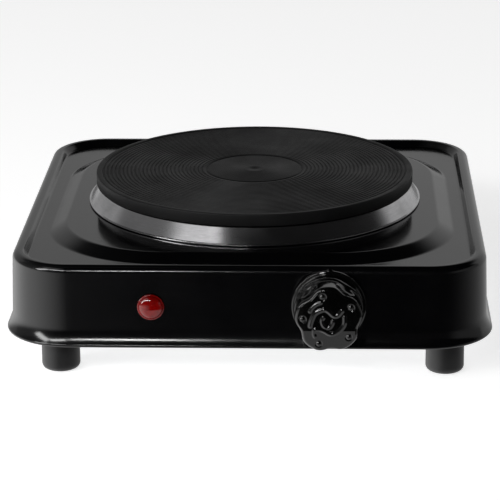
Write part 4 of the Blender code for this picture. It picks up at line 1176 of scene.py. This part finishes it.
@dataclass
class Studio:
    """Pale floor and surround, a room to be mirrored, soft lights and the camera."""

    reach: float = 6.0
    floor_tone: str = "#f2f2f2"
    floor_roughness: float = 0.9
    floor_glow: float = 0.72
    floor_drop: float = 0.0002
    floor_facets: int = 96
    surround_cuts: int = 4
    # A pale wall behind, in depth, height and width.
    backdrop: tuple[Fade, Fade, Fade] = (Fade(0.27, 0.48, 0.0, 0.5), Fade(0.46, 0.68, 1.0, 0.0),
                                         Fade(-0.4, 0.4, 0.8, 1.1))
    # A glow from the left and one from either far side, each in width and height.
    left: tuple[Fade, Fade] = (Fade(-0.3, -0.95, 0.012, 0.15), Fade(0.6, 0.8, 1.0, 0.4))
    far_sides: tuple[Fade, Fade] = (Fade(0.6, 0.93, 0.03, 0.26), Fade(0.31, 0.4, 1.0, 0.0))
    # Under the horizon: glows from the left and the rear, where the upper room takes over, the floor.
    table_left: Fade = Fade(-0.06, -0.95, 0.006, 1.7, Ease.STRAIGHT)
    table_rear: Fade = Fade(-0.9, 0.9, 0.006, 0.5)
    horizon: Fade = Fade(-0.18, 0.06, 0.0, 1.0)
    floor: Fade = Fade(-0.405, -0.45, 0.0, 0.72)
    # A broad light, two narrow ones that edges mirror and a small one for glints.
    lights: tuple[SoftLight, ...] = (
        SoftLight("soft_left", (-0.64, -0.62, 0.93), (0.62, 0.4), 0.85),
        SoftLight("key_bar", (-0.52, -0.98, 0.63), (0.5, 0.14), 14.0),
        SoftLight("strip_left", (-1.0, -0.72, 0.46), (0.24, 0.62), 11.5, -36.0),
        SoftLight("small_front", (-0.16, -1.15, 0.62), (0.09, 0.09), 45.0))
    camera_x: float = 38.4
    camera_back: float = 1099.4
    camera_z: float = 391.4
    pitch: float = 18.28
    yaw: float = 2.13
    roll: float = -0.38
    focal: float = 167.8
    sensor: float = 36.0

    def build_floor(self) -> None:
        """A wide floor, and a pale surround that only the camera sees."""
        white = bpy.data.materials.new("studio_white")
        white.use_nodes = True
        shader = white.node_tree.nodes["Principled BSDF"]
        shader.inputs["Base Color"].default_value = linear(self.floor_tone)
        shader.inputs["Roughness"].default_value = self.floor_roughness
        shader.inputs["Emission Color"].default_value = (1.0, 1.0, 1.0, 1.0)
        shader.inputs["Emission Strength"].default_value = self.floor_glow
        floor_mesh, dome_mesh = bmesh.new(), bmesh.new()
        bmesh.ops.create_circle(floor_mesh, cap_ends=True, segments=self.floor_facets, radius=self.reach)
        bmesh.ops.create_icosphere(dome_mesh, subdivisions=self.surround_cuts, radius=self.reach)
        for name, bm in (("studio_floor", floor_mesh), ("studio_surround", dome_mesh)):
            mesh = bpy.data.meshes.new(name)
            bm.to_mesh(mesh)
            bm.free()
            mesh.materials.append(white)
            piece = bpy.data.objects.new(name, mesh)
            piece.visible_glossy = False
            piece.visible_transmission = False
            bpy.context.scene.collection.objects.link(piece)
        surround = bpy.data.objects["studio_surround"]
        surround.visible_diffuse = False
        surround.visible_shadow = False
        bpy.data.objects["studio_floor"].location.z = -self.floor_drop

    def build_world(self) -> None:
        """A room that is dark in front and overhead and pale behind, as a gloss black object wants."""
        world = bpy.data.worlds.new("studio_room")
        bpy.context.scene.world = world
        world.use_nodes = True
        tree = world.node_tree
        ray = add_node(tree, "SeparateXYZ", {}, {"Vector": add_node(tree, "TexCoord").outputs["Generated"]})
        level = add_node(tree, "CombineXYZ", {}, {"X": ray.outputs["X"], "Y": ray.outputs["Y"]})
        heading = add_node(tree, "SeparateXYZ", {}, {"Vector": add_node(
            tree, "VectorMath", {"operation": "NORMALIZE"}, {0: level.outputs[0]}).outputs[0]})
        x, y, z = heading.outputs["X"], heading.outputs["Y"], ray.outputs["Z"]
        width = add_node(tree, "Math", {"operation": "ABSOLUTE"}, {0: x}).outputs[0]
        glows = []
        for fades, ways in ((self.backdrop, (y, z, x)), (self.left, (x, z)), (self.far_sides, (width, z))):
            levels = [fade.read(tree, way) for fade, way in zip(fades, ways)]
            glows.append(self.join(tree, Join.DIM, levels))
        above = self.join(tree, Join.BRIGHTEST, glows)
        table = [self.table_left.read(tree, x), self.table_rear.read(tree, y)]
        below = self.join(tree, Join.BRIGHTEST, table)
        share = self.horizon.read(tree, z)
        room = add_node(tree, "Mix", {}, {"Factor": share, 2: below, 3: above}).outputs[0]
        strength = self.join(tree, Join.BRIGHTEST, [room, self.floor.read(tree, z)])
        background = tree.nodes["Background"]
        background.inputs["Color"].default_value = (1.0, 1.0, 1.0, 1.0)
        tree.links.new(strength, background.inputs["Strength"])

    def join(self, tree: Tree, how: Join, levels: Sequence[Socket]) -> Socket:
        """Join several levels of brightness, two at a time.

        Args:
            tree: The room's node tree.
            how: The way two levels are joined.
            levels: The levels.

        Returns:
            The joined level.
        """
        joined = levels[0]
        for other in levels[1:]:
            joined = add_node(tree, "Math", {"operation": how.value}, {0: joined, 1: other}).outputs[0]
        return joined

    def build_camera(self) -> None:
        """A long lens a metre in front, looking down at the plate."""
        pitch, yaw, roll = (math.radians(a) for a in (self.pitch, self.yaw, self.roll))
        right = Vector((math.cos(yaw), math.sin(yaw), 0.0))
        ahead = Vector((-math.sin(yaw) * math.cos(pitch), math.cos(yaw) * math.cos(pitch), -math.sin(pitch)))
        down = ahead.cross(right)
        across = right * math.cos(roll) - down * math.sin(roll)
        up = -(right * math.sin(roll) + down * math.cos(roll))
        turn = Matrix((across, up, -ahead)).transposed()
        data = bpy.data.cameras.new("studio_camera")
        data.lens = self.focal
        data.sensor_width = self.sensor
        data.clip_end = 5 * self.reach
        camera = bpy.data.objects.new("studio_camera", data)
        spot = (self.camera_x * MM, LAYOUT.plate_y() - self.camera_back * MM, self.camera_z * MM)
        camera.matrix_world = Matrix.Translation(spot) @ turn.to_4x4()
        bpy.context.scene.collection.objects.link(camera)
        bpy.context.scene.camera = camera

    def build(self) -> None:
        """Set up the whole studio."""
        bpy.context.scene.view_settings.view_transform = "Standard"
        self.build_floor()
        self.build_world()
        for light in self.lights:
            light.hang()
        self.build_camera()


def main() -> None:
    """Build the sub-assemblies in order, then the studio round them."""
    logging.basicConfig(level=logging.INFO, format="%(message)s")
    steps: tuple[tuple[str, Callable[[], None]], ...] = (
        ("housing", Housing().build), ("plate and trim ring", CookingPlate().build), ("knob", Knob().build),
        ("lamp", Lamp().build), ("feet", Feet().build), ("cord gland", CordGland().build))
    for name, build in steps:
        LOG.info("building %s", name)
        build()
    redrawn = {"housing", "hotplate", "trim_ring", "knob", "lamp_lens", "cord_gland",
               *(f"foot_{corner}" for corner in Feet.corners)}
    InnerWorks().build(redrawn)
    Studio().build()


if __name__ == "__main__":
    main()
